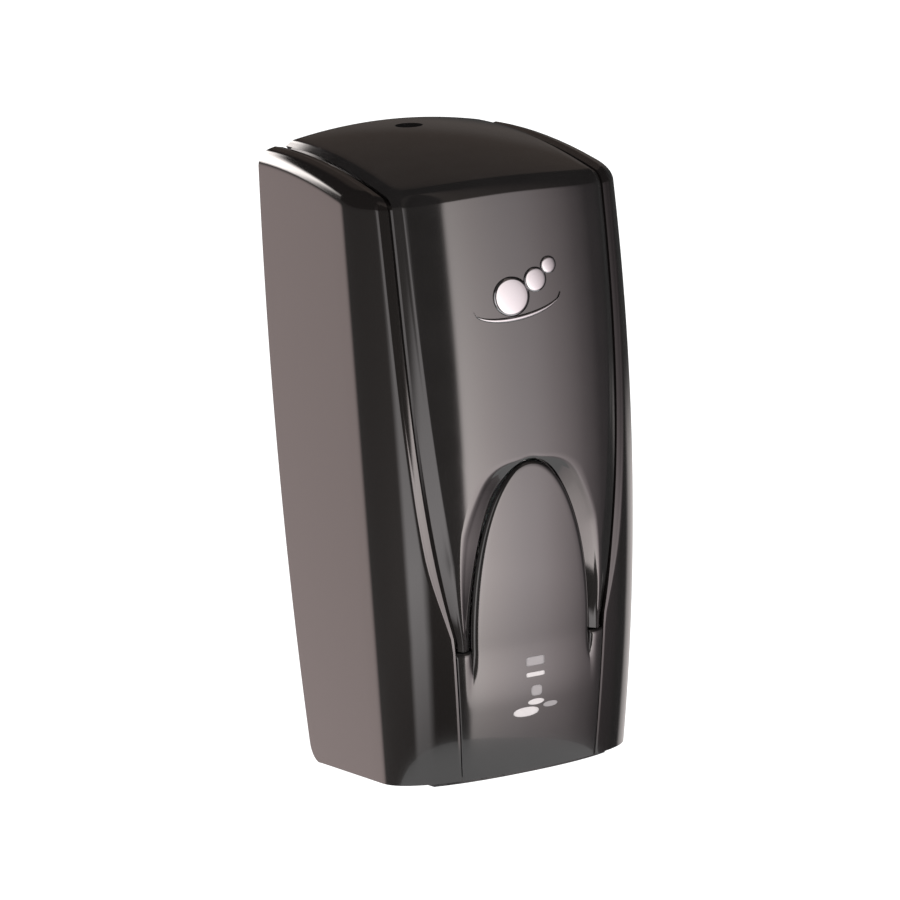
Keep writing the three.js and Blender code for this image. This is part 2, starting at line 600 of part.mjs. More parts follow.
piece('drive_base', driveBase(), darkGrey);
piece('drive_housing', driveHousing(), mattBlack);
piece('drive_floor', driveFloor(), mattBlack);

UNIT_SCREWS.forEach(([x, z], i) => {
  const screw = bar('y', [x, 0, z], 3.2, UNIT_FRONT - 2.3, UNIT_FRONT - FIT, 16)
    .add(bar('y', [x, 0, z], 1.5, UNIT_FRONT - 0.5, UNIT_FRONT + 9, 10));
  piece(`housing_screw_${i + 1}`, screw, steel);
});

// ---------------------------------------------------------------- gears
function flankAngle(teeth, module, radius) {
  const pitch = teeth * module / 2, base = pitch * Math.cos(PRESSURE);
  const involute = (a) => Math.tan(a) - a;
  const thin = BACKLASH / (2 * pitch);
  return Math.PI / (2 * teeth) - thin + involute(PRESSURE) - involute(Math.acos(Math.min(1, base / radius)));
}

// an involute spur gear in the XZ plane, with a tooth centred on the direction `turn`
function spur(teeth, module, centre, turn, y0, y1) {
  const pitch = teeth * module / 2, root = pitch - DEDENDUM * module, tip = pitch + ADDENDUM * module;
  const radii = teeth > 20 ? [root, tip] : [root, pitch, tip];
  const points = [];
  for (let k = 0; k < teeth; k++) {
    const middle = turn + 2 * Math.PI * k / teeth;
    for (const side of [-1, 1]) {
      for (const radius of side < 0 ? radii : [...radii].reverse()) {
        const p = away(centre, middle + side * flankAngle(teeth, module, radius), radius);
        points.push([p.x, p.z]);
      }
    }
  }
  return prism(points, Math.max(y0, y1), Math.min(y0, y1));
}

const OUT_LAYER = [-46, -40], MID_LAYER = [-36, -31], MOTOR_LAYER = [-28, -23];
const MOTOR_FACE = -39.3;

function outputGear() {
  const backTurn = MID_ANGLE + Math.PI / OUT_WHEEL;
  return spur(OUT_PINION, COARSE, OUT, 0, ...OUT_LAYER)
    .add(spur(OUT_WHEEL, COARSE, OUT, backTurn, ...MID_LAYER))
    .add(bar('y', [OUT.x, 0, OUT.z], 4, OUT_LAYER[0], -28, 20))
    .subtract(bar('y', [OUT.x, 0, OUT.z], AXLE_HOLE_R, -60, -10, 16));
}

function middleGear() {
  return spur(MID_PINION, COARSE, MID, MID_ANGLE + Math.PI, ...MID_LAYER)
    .add(spur(MID_WHEEL, FINE, MID, MOTOR_ANGLE, ...MOTOR_LAYER))
    .add(bar('y', [MID.x, 0, MID.z], 3.4, MID_LAYER[0], -20, 20))
    .subtract(bar('y', [MID.x, 0, MID.z], AXLE_HOLE_R, -60, -10, 16));
}

function motorPinion() {
  const turn = MOTOR_ANGLE + Math.PI + Math.PI / MOTOR_PINION;
  return spur(MOTOR_PINION, FINE, MOTOR, turn, ...MOTOR_LAYER)
    .add(bar('y', [MOTOR.x, 0, MOTOR.z], 1, MOTOR_FACE - 6, MOTOR_LAYER[0] + 1, 12));
}

piece('output_gear', outputGear(), nylon);
piece('middle_gear', middleGear(), nylon);
piece('motor_pinion', motorPinion(), brass);
piece('output_axle', bar('y', [OUT.x, 0, OUT.z], AXLE_R, -48.5, -7.5, 12), steel);
piece('middle_axle', bar('y', [MID.x, 0, MID.z], AXLE_R, -39, -7.5, 12), steel);

// ---------------------------------------------------------------- motor
function motor() {
  const centre = [MOTOR.x, 0, MOTOR.z];
  return bar('y', centre, MOTOR_R, MOTOR_FACE - 30, MOTOR_FACE, 28)
    .add(bar('y', centre, 3, MOTOR_FACE - 0.5, MOTOR_FACE + 1.2, 16))
    .add(bar('y', centre, 10, MOTOR_FACE - 32, MOTOR_FACE - 29, 28))
    .subtract(bar('y', centre, 1 + FIT, MOTOR_FACE - 8, MOTOR_FACE + 3, 12));
}

// a bent steel plate: the motor sits on its face, and its leg stands on the base
function motorBracket() {
  const edge = -52.6;
  const face = block([edge, -26.4], [-38.9, -37], [-92, -61]);
  const leg = block([edge, edge + 1.8], [-37.5, -8.5], [-88, -64]);
  const foot = block([edge, edge + 5.4], [-8.6, -10.2], [-88, -64]);
  return face.add(leg).add(foot)
    .subtract(bar('y', [MOTOR.x, 0, MOTOR.z], 3.4, -45, -30, 16))
    .subtract(bar('y', [MID.x, 0, MID.z], AXLE_R + FIT, -45, -30, 12));
}

piece('motor', motor(), steel);
piece('motor_bracket', motorBracket(), steel);

// ---------------------------------------------------------------- fork carriage, on two guide rods
function rackPoints() {
  const pitch = Math.PI * COARSE, low = OUT.z - (RACK_TEETH - 2.5) * pitch;
  const tip = RACK_X - ADDENDUM * COARSE, root = RACK_X + DEDENDUM * COARSE;
  const half = (x) => (pitch - BACKLASH * 2) / 4 + (x - RACK_X) * Math.tan(PRESSURE);
  const points = [[-11, low - pitch / 2]];
  for (let k = 0; k < RACK_TEETH; k++) {
    const z = low + k * pitch;
    points.push([root, z - half(root)], [tip, z - half(tip)], [tip, z + half(tip)], [root, z + half(root)]);
  }
  return [...points, [-11, low + (RACK_TEETH - 0.5) * pitch]];
}

function forkCarriage() {
  const low = -127, tineEnd = PUMP_Y - 9;
  const bodyBlock = block([-12, 12], [-40, -52], [low, FORK_TOP]);
  const fork = block([-14, 14], [-50, tineEnd], [FORK_TOP - FORK_THICK, FORK_TOP])
    .subtract(block([-9.4, 9.4], [PUMP_Y + 9.4, tineEnd - 1], [-110, -90]));
  let carriage = bodyBlock.add(fork).add(prism(rackPoints().reverse(), OUT_LAYER[1], OUT_LAYER[0]));
  for (const sign of [-1, 1]) {
    carriage = carriage.subtract(bar('z', [sign * ROD_X, ROD_Y, 0], ROD_R + FIT, -140, -90, 16));
  }
  return carriage;
}

piece('fork_carriage', forkCarriage(), white);
for (const [name, sign] of [['guide_rod_left', -1], ['guide_rod_right', 1]]) {
  piece(name, bar('z', [sign * ROD_X, ROD_Y, 0], ROD_R, -134.2, -64, 16), steel);
}

// ---------------------------------------------------------------- soap pouch and foam pump
const POUCH = { half: 54, rear: -38, front: -114, low: -42, high: 100, corner: 4.6 };

// a full bag: a block with all its edges well rounded
function pouch() {
  const ball = new THREE.SphereGeometry(1, 22, 16).rotateX(Math.PI / 2);
  const position = ball.attributes.position, p = new THREE.Vector3(), n = POUCH.corner;
  const half = [POUCH.half, (POUCH.rear - POUCH.front) / 2, (POUCH.high - POUCH.low) / 2];
  for (let i = 0; i < position.count; i++) {
    p.fromBufferAttribute(position, i);
    const size = (Math.abs(p.x) ** n + Math.abs(p.y) ** n + Math.abs(p.z) ** n) ** (1 / n);
    position.setXYZ(i, p.x / size * half[0], p.y / size * half[1], p.z / size * half[2]);
  }
  ball.translate(0, (POUCH.rear + POUCH.front) / 2, (POUCH.low + POUCH.high) / 2);
  return solid(ball);
}

const COLLAR_TOP = POUCH.low - FIT, COLLAR_BASE = UNIT_TOP + FIT, COLLAR_R = 21;
const CHAMBER_R = 13.6, CHAMBER_SKIN = 1.8, CHAMBER_END = -76, PISTON_TOP = -71.5;

function pumpCollar() {
  const r = COLLAR_R, low = COLLAR_BASE, high = COLLAR_TOP;
  return solid(turned([[0, low], [r, low], [r, high - 3], [r - 3, high], [0, high]])).translate(0, PUMP_Y, 0);
}
// an air cylinder, open below, that the piston slides up into
function pumpChamber() {
  const top = COLLAR_BASE - FIT, ceiling = PISTON_TOP + STROKE + 1.5;
  const bore = CHAMBER_R - CHAMBER_SKIN;
  return solid(turned([[0, ceiling], [bore, ceiling], [bore, CHAMBER_END], [CHAMBER_R, CHAMBER_END],
    [CHAMBER_R, top], [0, top]])).translate(0, PUMP_Y, 0);
}
function pumpPiston() {
  const r = CHAMBER_R - CHAMBER_SKIN - FIT, foot = FLANGE_Z + FLANGE_THICK + 0.4, under = PISTON_TOP - 3;
  return solid(turned([[0, foot], [STEM_R, foot], [STEM_R, under], [r, under], [r, PISTON_TOP],
    [0, PISTON_TOP]])).translate(0, PUMP_Y, 0);
}
// the flange that the fork lifts, and the foam tube with its outlet below it
function foamNozzle() {
  const top = FLANGE_Z + FLANGE_THICK, tip = -133, tubeTop = -110;
  return solid(turned([[0, tubeTop], [5.6, tubeTop], [5.6, tip + 5], [3.6, tip], [4.8, tip], [8.2, tip + 6],
    [8.2, FLANGE_Z], [FLANGE_R, FLANGE_Z], [FLANGE_R, top], [0, top]])).translate(0, PUMP_Y, 0);
}
function pumpSpring() {
  const low = FLANGE_Z + FLANGE_THICK + 1.1, high = CHAMBER_END - 1.1, mean = CHAMBER_R - 0.9;
  const turns = 4, steps = turns * 10;
  const points = Array.from({ length: steps + 1 }, (_, i) => {
    const a = 2 * Math.PI * turns * i / steps;
    return [mean * Math.cos(a), PUMP_Y + mean * Math.sin(a), low + (high - low) * i / steps];
  });
  return wire(points, 0.6, steps);
}

piece('soap_pouch', pouch(), film);
piece('pump_collar', pumpCollar(), white);
piece('pump_chamber', pumpChamber(), white);
piece('pump_piston', pumpPiston(), white);
piece('foam_nozzle', foamNozzle(), white);
piece('pump_spring', pumpSpring(), steel);

// ---------------------------------------------------------------- battery box
const CELLS = [-1.5, -0.5, 0.5, 1.5].map((k) => k * CELL_PITCH);
const LID_Y = -7.5, LID_Z = BOX_TOP + 1.7, LID_HALF = BOX_HALF - 1.6;

function batteryBox() {
  const s = BOX_SKIN;
  const inner = block([-BOX_HALF + s, BOX_HALF - s], [BOX_REAR - s, BOX_FRONT + s],
    [BOX_BASE + s, BOX_TOP + 1]);
  return block([-BOX_HALF, BOX_HALF], [BOX_REAR, BOX_FRONT], [BOX_BASE, BOX_TOP]).subtract(inner);
}
function cell() {
  const top = CELL_BASE + CELL_LENGTH;
  return turned([[0, CELL_BASE], [CELL_R - 1, CELL_BASE], [CELL_R, CELL_BASE + 1], [CELL_R, top - 1],
    [CELL_R - 1, top], [3.4, top], [3.4, top + 1.5], [0, top + 1.5]], 20);
}
// a strip under two cells, with a springy tongue bent up to each
function baseContact(x) {
  const z = BOX_BASE + BOX_SKIN + FIT;
  let strip = block([x - 20, x + 20], [CELL_Y - 4, CELL_Y + 4], [z, z + 0.6]);
  for (const side of [-1, 1]) {
    const c = x + side * CELL_PITCH / 2;
    const tongue = [[c, CELL_BASE - FIT - 0.7], [c + 4, CELL_BASE - 2.2], [c + 4, CELL_BASE - 1.6],
      [c, CELL_BASE - FIT], [c - 6, z + 0.9], [c - 6, z + 0.3]];
    strip = strip.add(prism(tongue, CELL_Y + 3, CELL_Y - 3));
  }
  return strip;
}
function batteryLid() {
  const plate = block([-LID_HALF, LID_HALF], [LID_Y, BOX_FRONT], [BOX_TOP + FIT, BOX_TOP + 2.4]);
  const roll = bar('x', [0, LID_Y, LID_Z], 1.9, -LID_HALF + 4.4, LID_HALF - 4.4, 16);
  const tab = block([-8, 8], [BOX_FRONT - 0.4, BOX_FRONT - 1.6], [BOX_TOP - 7, BOX_TOP + 2.4]);
  const neck = block([-8, 8], [BOX_FRONT + 1, BOX_FRONT - 1.6], [BOX_TOP + FIT, BOX_TOP + 2.4]);
  return plate.add(roll).add(tab).add(neck).subtract(bar('x', [0, LID_Y, LID_Z], 0.9, -60, 60, 10));
}

piece('battery_box', batteryBox(), mattBlack);
CELLS.forEach((x, i) => piece(`battery_${i + 1}`, cell(), cellSleeve, [x, CELL_Y, 0]));
piece('base_contact_left', baseContact(-CELL_PITCH), brass);
piece('base_contact_right', baseContact(CELL_PITCH), brass);
piece('battery_lid', batteryLid(), mattBlack);
piece('lid_pin', bar('x', [0, LID_Y, LID_Z], 0.55, -LID_HALF + 0.4, LID_HALF - 0.4, 8), steel);
// strips under the lid: one joins the two middle cells, and one end cell each has its own
function lidContact(x, half) {
  return block([x - half, x + half], [CELL_Y - 4, CELL_Y + 4], [BOX_TOP - 0.9, BOX_TOP - 0.1]);
}
piece('lid_contact_left', lidContact(CELLS[0], 7), brass);
piece('lid_contact_middle', lidContact(0, 20), brass);
piece('lid_contact_right', lidContact(CELLS[3], 7), brass);

// ---------------------------------------------------------------- electronics
piece('control_board', block([17, 47], [BOARD_REAR, BOARD_FRONT], [-123, -62]), boardGreen);
piece('controller_chip', block([27, 39], [BOARD_FRONT - FIT, BOARD_FRONT - 2.4], [-100, -88]), chipBlack);
piece('smoothing_capacitor', bar('y', [26, 0, -112], 5, BOARD_FRONT - 14, BOARD_FRONT - FIT, 20), cellSleeve);
piece('wire_connector', block([34, 45], [BOARD_FRONT - FIT, BOARD_FRONT - 7], [-73, -67]), white);

// the hand sensor: its board lies flat above the window, with two domed eyes looking down
const EYE_BOARD_Z = -133, EYE_Y = (SENSOR_Y[0] + SENSOR_Y[1]) / 2;
const EYE_PROFILE = [[0, -9.5], [1.6, -8.9], [2.5, -7.4], [2.5, -1], [3, -1], [3, -FIT], [0, -FIT]];
const sensorBoardY = [SENSOR_Y[0] + 1, SENSOR_Y[1] - 1];
piece('sensor_board', block(SENSOR_X, sensorBoardY, [EYE_BOARD_Z, EYE_BOARD_Z + BOARD_THICK]), boardGreen);
piece('infrared_emitter', turned(EYE_PROFILE, 16), clearLens, [27, EYE_Y, EYE_BOARD_Z]);
piece('infrared_receiver', turned(EYE_PROFILE, 16), clearLens, [39, EYE_Y, EYE_BOARD_Z]);
const WINDOW_X = [SENSOR_X[0] + FIT, SENSOR_X[1] - FIT], WINDOW_Y = [SENSOR_Y[0] - FIT, SENSOR_Y[1] + FIT];
const windowPane = block(WINDOW_X, WINDOW_Y, [UNDER, -120]).intersect(footSlab(PAD_LAYER[0], PAD_LAYER[0] + 2));
piece('sensor_window', windowPane, smokedRed);

// ---------------------------------------------------------------- wires
// the two motor leads run side by side: out of the motor's end, down past the gears, along under them,
// and up to the board's connector; each stop is the middle of the pair and the red lead's step from it
const END = MOTOR_FACE - 32 - FIT;
const LEAD_ROUTE = [
  [[MOTOR.x, END, MOTOR.z], [4, 0, 0]],
  [[MOTOR.x, END - 3, MOTOR.z - 0.5], [4, 0, 0]],
  [[MOTOR.x, END - 5, MOTOR.z - 8], [2.5, 0, 0]],
  [[-41, -72, -98], [1.2, 0, 0]],
  [[-42, -60, -116], [1.2, 0, 0]],
  [[-42, -42, -127], [1.2, 0, 0]],
  [[-36, -26, -130], [0.9, -0.9, 0]],
  [[-22, -17, -130], [0, -1.2, 0]],
  [[0, -16, -130], [0, -1.2, 0]],
  [[10, -16, -127], [0, -1.2, 0]],
  [[13.5, -18, -114], [0, -1.2, 0]],
  [[14, -22, -90], [0, -1.2, 0]],
  [[15, -32, -75], [0, -0.9, -0.9]],
  [[22, -36, -71], [0, 0, -1.3]],
  [[34 - FIT, -35.5, -70], [0, 0, -1.3]],
];
for (const [name, side, material] of [['motor_lead_red', 1, redWire], ['motor_lead_black', -1, blackWire]]) {
  const stops = LEAD_ROUTE.map(([at, step]) => at.map((v, k) => v + side * step[k]));
  piece(name, wire(stops, 0.65, 36), material);
}

export default dispenser;
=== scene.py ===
"""Looks of the wall mounted foam soap dispenser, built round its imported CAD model.

The cover's flanks, the shield and the thumb panel are rebuilt as smooth structured skins from the same
form that the CAD solids have, in millimetres and then scaled to metres. The inner pieces keep their CAD
shape and get rounded edges. Every surface has a procedural material.
"""
import json
import math

import bmesh
import bpy
import numpy as np
from mathutils import Matrix, Vector, noise


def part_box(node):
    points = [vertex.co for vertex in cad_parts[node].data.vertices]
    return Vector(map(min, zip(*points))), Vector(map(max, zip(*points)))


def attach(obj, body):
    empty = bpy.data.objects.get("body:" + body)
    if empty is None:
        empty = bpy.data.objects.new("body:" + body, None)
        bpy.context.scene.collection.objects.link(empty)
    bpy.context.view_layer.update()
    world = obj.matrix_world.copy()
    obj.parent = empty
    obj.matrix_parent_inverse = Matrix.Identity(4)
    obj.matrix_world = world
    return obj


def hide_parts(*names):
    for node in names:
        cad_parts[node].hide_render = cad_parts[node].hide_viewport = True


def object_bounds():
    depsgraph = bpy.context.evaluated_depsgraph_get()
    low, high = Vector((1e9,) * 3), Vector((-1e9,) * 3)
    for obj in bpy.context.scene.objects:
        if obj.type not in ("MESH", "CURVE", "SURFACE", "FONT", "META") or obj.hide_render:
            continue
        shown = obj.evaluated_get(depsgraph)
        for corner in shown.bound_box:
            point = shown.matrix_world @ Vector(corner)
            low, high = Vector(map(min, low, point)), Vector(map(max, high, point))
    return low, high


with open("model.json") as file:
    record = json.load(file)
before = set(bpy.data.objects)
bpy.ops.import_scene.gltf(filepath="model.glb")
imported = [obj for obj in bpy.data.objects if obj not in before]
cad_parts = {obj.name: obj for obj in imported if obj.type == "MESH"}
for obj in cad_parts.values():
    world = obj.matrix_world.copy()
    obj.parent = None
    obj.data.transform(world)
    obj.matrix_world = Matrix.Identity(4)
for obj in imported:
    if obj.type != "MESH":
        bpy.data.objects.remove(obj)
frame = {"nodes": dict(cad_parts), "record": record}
cad_box = [list(map(float, corner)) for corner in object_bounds()]
BODY_OF = {node: body for body, nodes in frame["record"]["behaviour"]["bodies"].items() for node in nodes}
SLOT_OF = {part["node"]: part["material_slot"] for part in frame["record"]["subparts"]}

MM = 0.001

# ---------------------------------------------------------------- the cover's form, in millimetres
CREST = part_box("shield")[1][2] / MM
COVER_BOTTOM, FOOT_SLOPE = -143.0, 0.128
MIDDLE_HALF_WIDTH, WIDTH_LEAN, WIDTH_BOW = 65.4, 2.0, 3.2
MIDDLE_DEPTH, DEPTH_LEAN, DEPTH_BOW = 132.0, 2.0, 11.0
REAR_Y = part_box("front_cover")[1][1] / MM
HINGE_Y, HINGE_Z = (v / MM for v in frame["record"]["behaviour"]["joints"][0]["pos_m"][1:])
BOW, SIDE_SHARE = 2.3, 0.72
TOP_ARCH, ARCH_REACH = 9.0, 65.0
TOP_FALL, FALL_REACH = 18.0, 130.0
TOP_ROUND, EDGE_DROP, EDGE_LEAD, ARC_WEIGHT = 6.0, 14.0, 0.5, 0.75

SHIELD_HALF, TIP_HALF, TIP_Z, SHIELD_TAPER = 51.8, 36.5, -80.0, 3.4
ARCH_HALF, ARCH_RISE, TIP_END = 29.5, 79.0, -84.0
SEAM_FOOT_HALF, SEAM, PANEL_RECESS = 33.3, 0.3, 1.0
LOCK_Y, LOCK_HOLE_R = -26.0, 6.35


def half_width(z):
    t = z / CREST
    return MIDDLE_HALF_WIDTH + WIDTH_LEAN * t - WIDTH_BOW * t * t


def front_depth(z):
    t = z / CREST
    return MIDDLE_DEPTH + DEPTH_LEAN * t - DEPTH_BOW * t * t


def top_height(x, y):
    return CREST - TOP_ARCH * (x / ARCH_REACH) ** 2 - TOP_FALL * (y / FALL_REACH) ** 2


def foot_edge(y):
    """The height of the cover's sloping lower edge at a depth."""
    return COVER_BOTTOM - FOOT_SLOPE * (y + MIDDLE_DEPTH)


def surface_depth(x, z, inset=0.0):
    """How far the bowed front stands out from the wall, or an inset copy of it."""
    side = SIDE_SHARE * front_depth(z)
    across = min(1.0, abs(x) / (half_width(z) - inset))
    return side + (front_depth(z) - side - inset) * (1 - across**BOW) ** (1 / BOW)


def mix(a, b, t):
    return a + (b - a) * t


def smooth(t):
    t = min(1.0, max(0.0, t))
    return t * t * (3 - 2 * t)


def spread(count, low=0.0, high=1.0):
    return [mix(low, high, i / count) for i in range(count + 1)]


def arc(low, corner, high, t):
    """A nearly round arc from low to high that is tangent to the lines to their corner."""
    a, b, c = (1 - t) ** 2, 2 * ARC_WEIGHT * t * (1 - t), t * t
    return tuple((a * p + b * q + c * r) / (a + b + c) for p, q, r in zip(low, corner, high))


def front_edge(x):
    """Where the rounding between front and top begins: its depth on top, and its height on the front."""
    depth = surface_depth(x, CREST - EDGE_DROP)
    return depth - TOP_ROUND, top_height(x, -depth) - TOP_ROUND


def bare_point(x, run):
    """A point of the form: run goes along the top (0 to 1), over the edge (to 2) and down the front (3)."""
    depth, height = front_edge(x)
    if run <= 1:
        y = mix(REAR_Y, -depth, run)
        return x, y, top_height(x, y)
    low, high = (x, -surface_depth(x, height), height), (x, -depth, top_height(x, -depth))
    if run <= 2:
        corner = (x, low[1] + EDGE_LEAD, top_height(x, low[1]))
        return arc(high, corner, low, run - 1)
    z = mix(height, COVER_BOTTOM, run - 2)
    return x, -surface_depth(x, z), z


def normal_at(x, run):
    """The outward normal of the form, from its slopes."""
    step = 0.004
    before, after = max(0.0, run - step), run + step
    along = Vector(bare_point(x, after)) - Vector(bare_point(x, before))
    across = Vector(bare_point(x + 0.2, run)) - Vector(bare_point(x - 0.2, run))
    return along.cross(across).normalized()


def on_form(x, run, drop=0.0):
    point = Vector(bare_point(x, run))
    return tuple(point - normal_at(x, run) * drop) if drop else tuple(point)


def on_front(x, z, drop=0.0):
    """A point of the front at a height, moved in by drop."""
    height = front_edge(x)[1]
    return on_form(x, 2 + (height - z) / (height - COVER_BOTTOM), drop)


def shield_half(z):
    down = min(1.0, max(0.0, (CREST - z) / (CREST - TIP_Z)))
    return SHIELD_HALF - (SHIELD_HALF - TIP_HALF) * down**SHIELD_TAPER


def seam_half(z):
    """Half the width of the thumb panel's foot."""
    t = (TIP_END - z) / (TIP_END - COVER_BOTTOM)
    return TIP_HALF + (SEAM_FOOT_HALF - TIP_HALF) * t


def arch_half(z):
    rise = (z - TIP_Z) / ARCH_RISE
    return ARCH_HALF * math.sqrt(max(0.0, 1 - rise * rise))


# ---------------------------------------------------------------- skins
EDGE_ROUND, FINE_ROUND_ANGLE, ROUND_ANGLE = 0.3, 40.0, 50.0
INSIDE, SKIN_SHARP, FINE_SHARP = (0, -40, 0), 28.0, 30.0


def skin(name, grids, thickness, node, hole=False):
    """A solid piece of the cover from grids of points that share their edges, thickened inwards."""
    mesh = bmesh.new()
    for grid in grids:
        rows = [[mesh.verts.new(Vector(p) * MM) for p in row] for row in grid]
        for low, high in zip(rows, rows[1:]):
            for i in range(len(low) - 1):
                mesh.faces.new((low[i], low[i + 1], high[i + 1], high[i]))
    bmesh.ops.remove_doubles(mesh, verts=mesh.verts, dist=0.02 * MM)
    bmesh.ops.dissolve_degenerate(mesh, edges=mesh.edges, dist=0.005 * MM)
    bmesh.ops.recalc_face_normals(mesh, faces=mesh.faces)
    middle = Vector(INSIDE) * MM
    outward = sum((f.calc_center_median() - middle).dot(f.normal) * f.calc_area() for f in mesh.faces)
    if outward < 0:
        bmesh.ops.reverse_faces(mesh, faces=mesh.faces)
    finished(name, mesh, node, SKIN_SHARP, thickness, hole)


def baked(piece):
    """Applies a piece's modifiers."""
    bpy.context.view_layer.update()
    ready = piece.evaluated_get(bpy.context.evaluated_depsgraph_get())
    data = bpy.data.meshes.new_from_object(ready)
    piece.modifiers.clear()
    piece.data = data


def rounded_edges(piece, width, angle):
    """Rounds the edges that turn by more than an angle."""
    rounding = piece.modifiers.new("rounding", "BEVEL")
    rounding.width = width * MM
    rounding.segments = 2
    rounding.limit_method = "ANGLE"
    rounding.angle_limit = math.radians(angle)
    rounding.harden_normals = True


def placed(name, mesh):
    """An object in the scene from a bmesh, which it uses up."""
    data = bpy.data.meshes.new(name)
    mesh.to_mesh(data)
    mesh.free()
    piece = bpy.data.objects.new(name, data)
    bpy.context.scene.collection.objects.link(piece)
    return piece


def thickened(piece, thickness):
    shell = piece.modifiers.new("thickness", "SOLIDIFY")
    shell.thickness = thickness * MM
    shell.offset = -1


def lock_cutter():
    """A round bar that cuts the lock's hole."""
    mesh = bmesh.new()
    radius = LOCK_HOLE_R * MM
    centre = Matrix.Translation(Vector((0, LOCK_Y, CREST)) * MM)
    bmesh.ops.create_cone(mesh, cap_ends=True, segments=48, radius1=radius, radius2=radius, depth=30 * MM,
                          matrix=centre)
    return placed("lock_cutter", mesh)


def finished(name, mesh, node, sharp, thickness=0.0, hole=False):
    """Turns a bmesh into a piece that stands for a node, with the node's body, slot and material."""
    piece = placed(name, mesh)
    piece.data.shade_smooth()
    piece.data.set_sharp_from_angle(angle=math.radians(sharp))
    if thickness:
        thickened(piece, thickness)
        cutter = lock_cutter() if hole else None
        if cutter:
            cut = piece.modifiers.new("hole", "BOOLEAN")
            cut.operation, cut.solver, cut.object = "DIFFERENCE", "EXACT", cutter
        rounded_edges(piece, EDGE_ROUND, ROUND_ANGLE)
        baked(piece)
        if cutter:
            bpy.data.objects.remove(cutter)
    stand_for(piece, node)


def stand_for(piece, node):
    piece.data.materials.append(MATERIALS[SLOT_OF[node]])
    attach(piece, BODY_OF[node])
    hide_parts(node)


def reflected(grids):
    """The same grids on the left of the middle plane."""
    return [[[(-x, y, z) for x, y, z in row] for row in grid] for grid in grids]


def mirrored(grids):
    return grids + reflected(grids)


# ---------------------------------------------------------------- shield
SHIELD_GAP, FLANK_GAP = 0.9, 0.8
GROOVE_DROP, FLANK_BEVEL = 1.5, 3.4
TOP_BEVEL, LEG_BEVEL = 5.2, 8.5
ARCH_BEVEL, ARCH_DROP, ARCH_GAP = 9.5, 3.0, 0.6
APEX_BEVEL, APEX_DROP = 1.6, 0.5
APEX_FROM, APEX_TO = math.radians(52), math.radians(84)
SPLIT_Z = 16.0
LEGS_Z = SPLIT_Z - 20
PLATE_COLUMNS, LEG_COLUMNS, BEVEL_COLUMNS = 14, 10, 7
TOP_ROWS, EDGE_ROWS, PLATE_ROWS, LEG_ROWS = 16, 8, 22, 30


def bevel_profile(width, drop, gap):
    """Offsets from an outline and depths below the surface, from a bevel's crest to its edge."""
    profile = []
    for t in spread(BEVEL_COLUMNS):
        ease = smooth(t / 0.25) if t < 0.25 else 1
        profile.append((mix(width, gap, t), drop * (ease * t)))
    return profile


def half_leg(z):
    """How far a bevel may reach across one of the shield's legs, so that its two bevels don't meet."""
    return 0.5 * (shield_half(z) - arch_half(z)) - 0.4


def shield_bevel(z):
    """How wide the shield's outer bevel is at a height."""
    wide = mix(TOP_BEVEL, LEG_BEVEL, smooth((CREST - z) / (CREST - TIP_Z)))
    return min(wide, half_leg(z)) if z < LEGS_Z else wide


def near_apex(turn):
    return smooth((turn - APEX_FROM) / (APEX_TO - APEX_FROM))


def arch_crest(turn):
    """How far the arch's bevel reaches at an angle round the arch: least at its apex."""
    wide = mix(ARCH_BEVEL, APEX_BEVEL, near_apex(turn))
    return min(wide, half_leg(TIP_Z + ARCH_RISE * math.sin(turn)))


def arch_drop(turn):
    return mix(ARCH_DROP, APEX_DROP, near_apex(turn))


def arch_point(turn, grow):
    return (ARCH_HALF + grow) * math.cos(turn), TIP_Z + (ARCH_RISE + grow) * math.sin(turn)


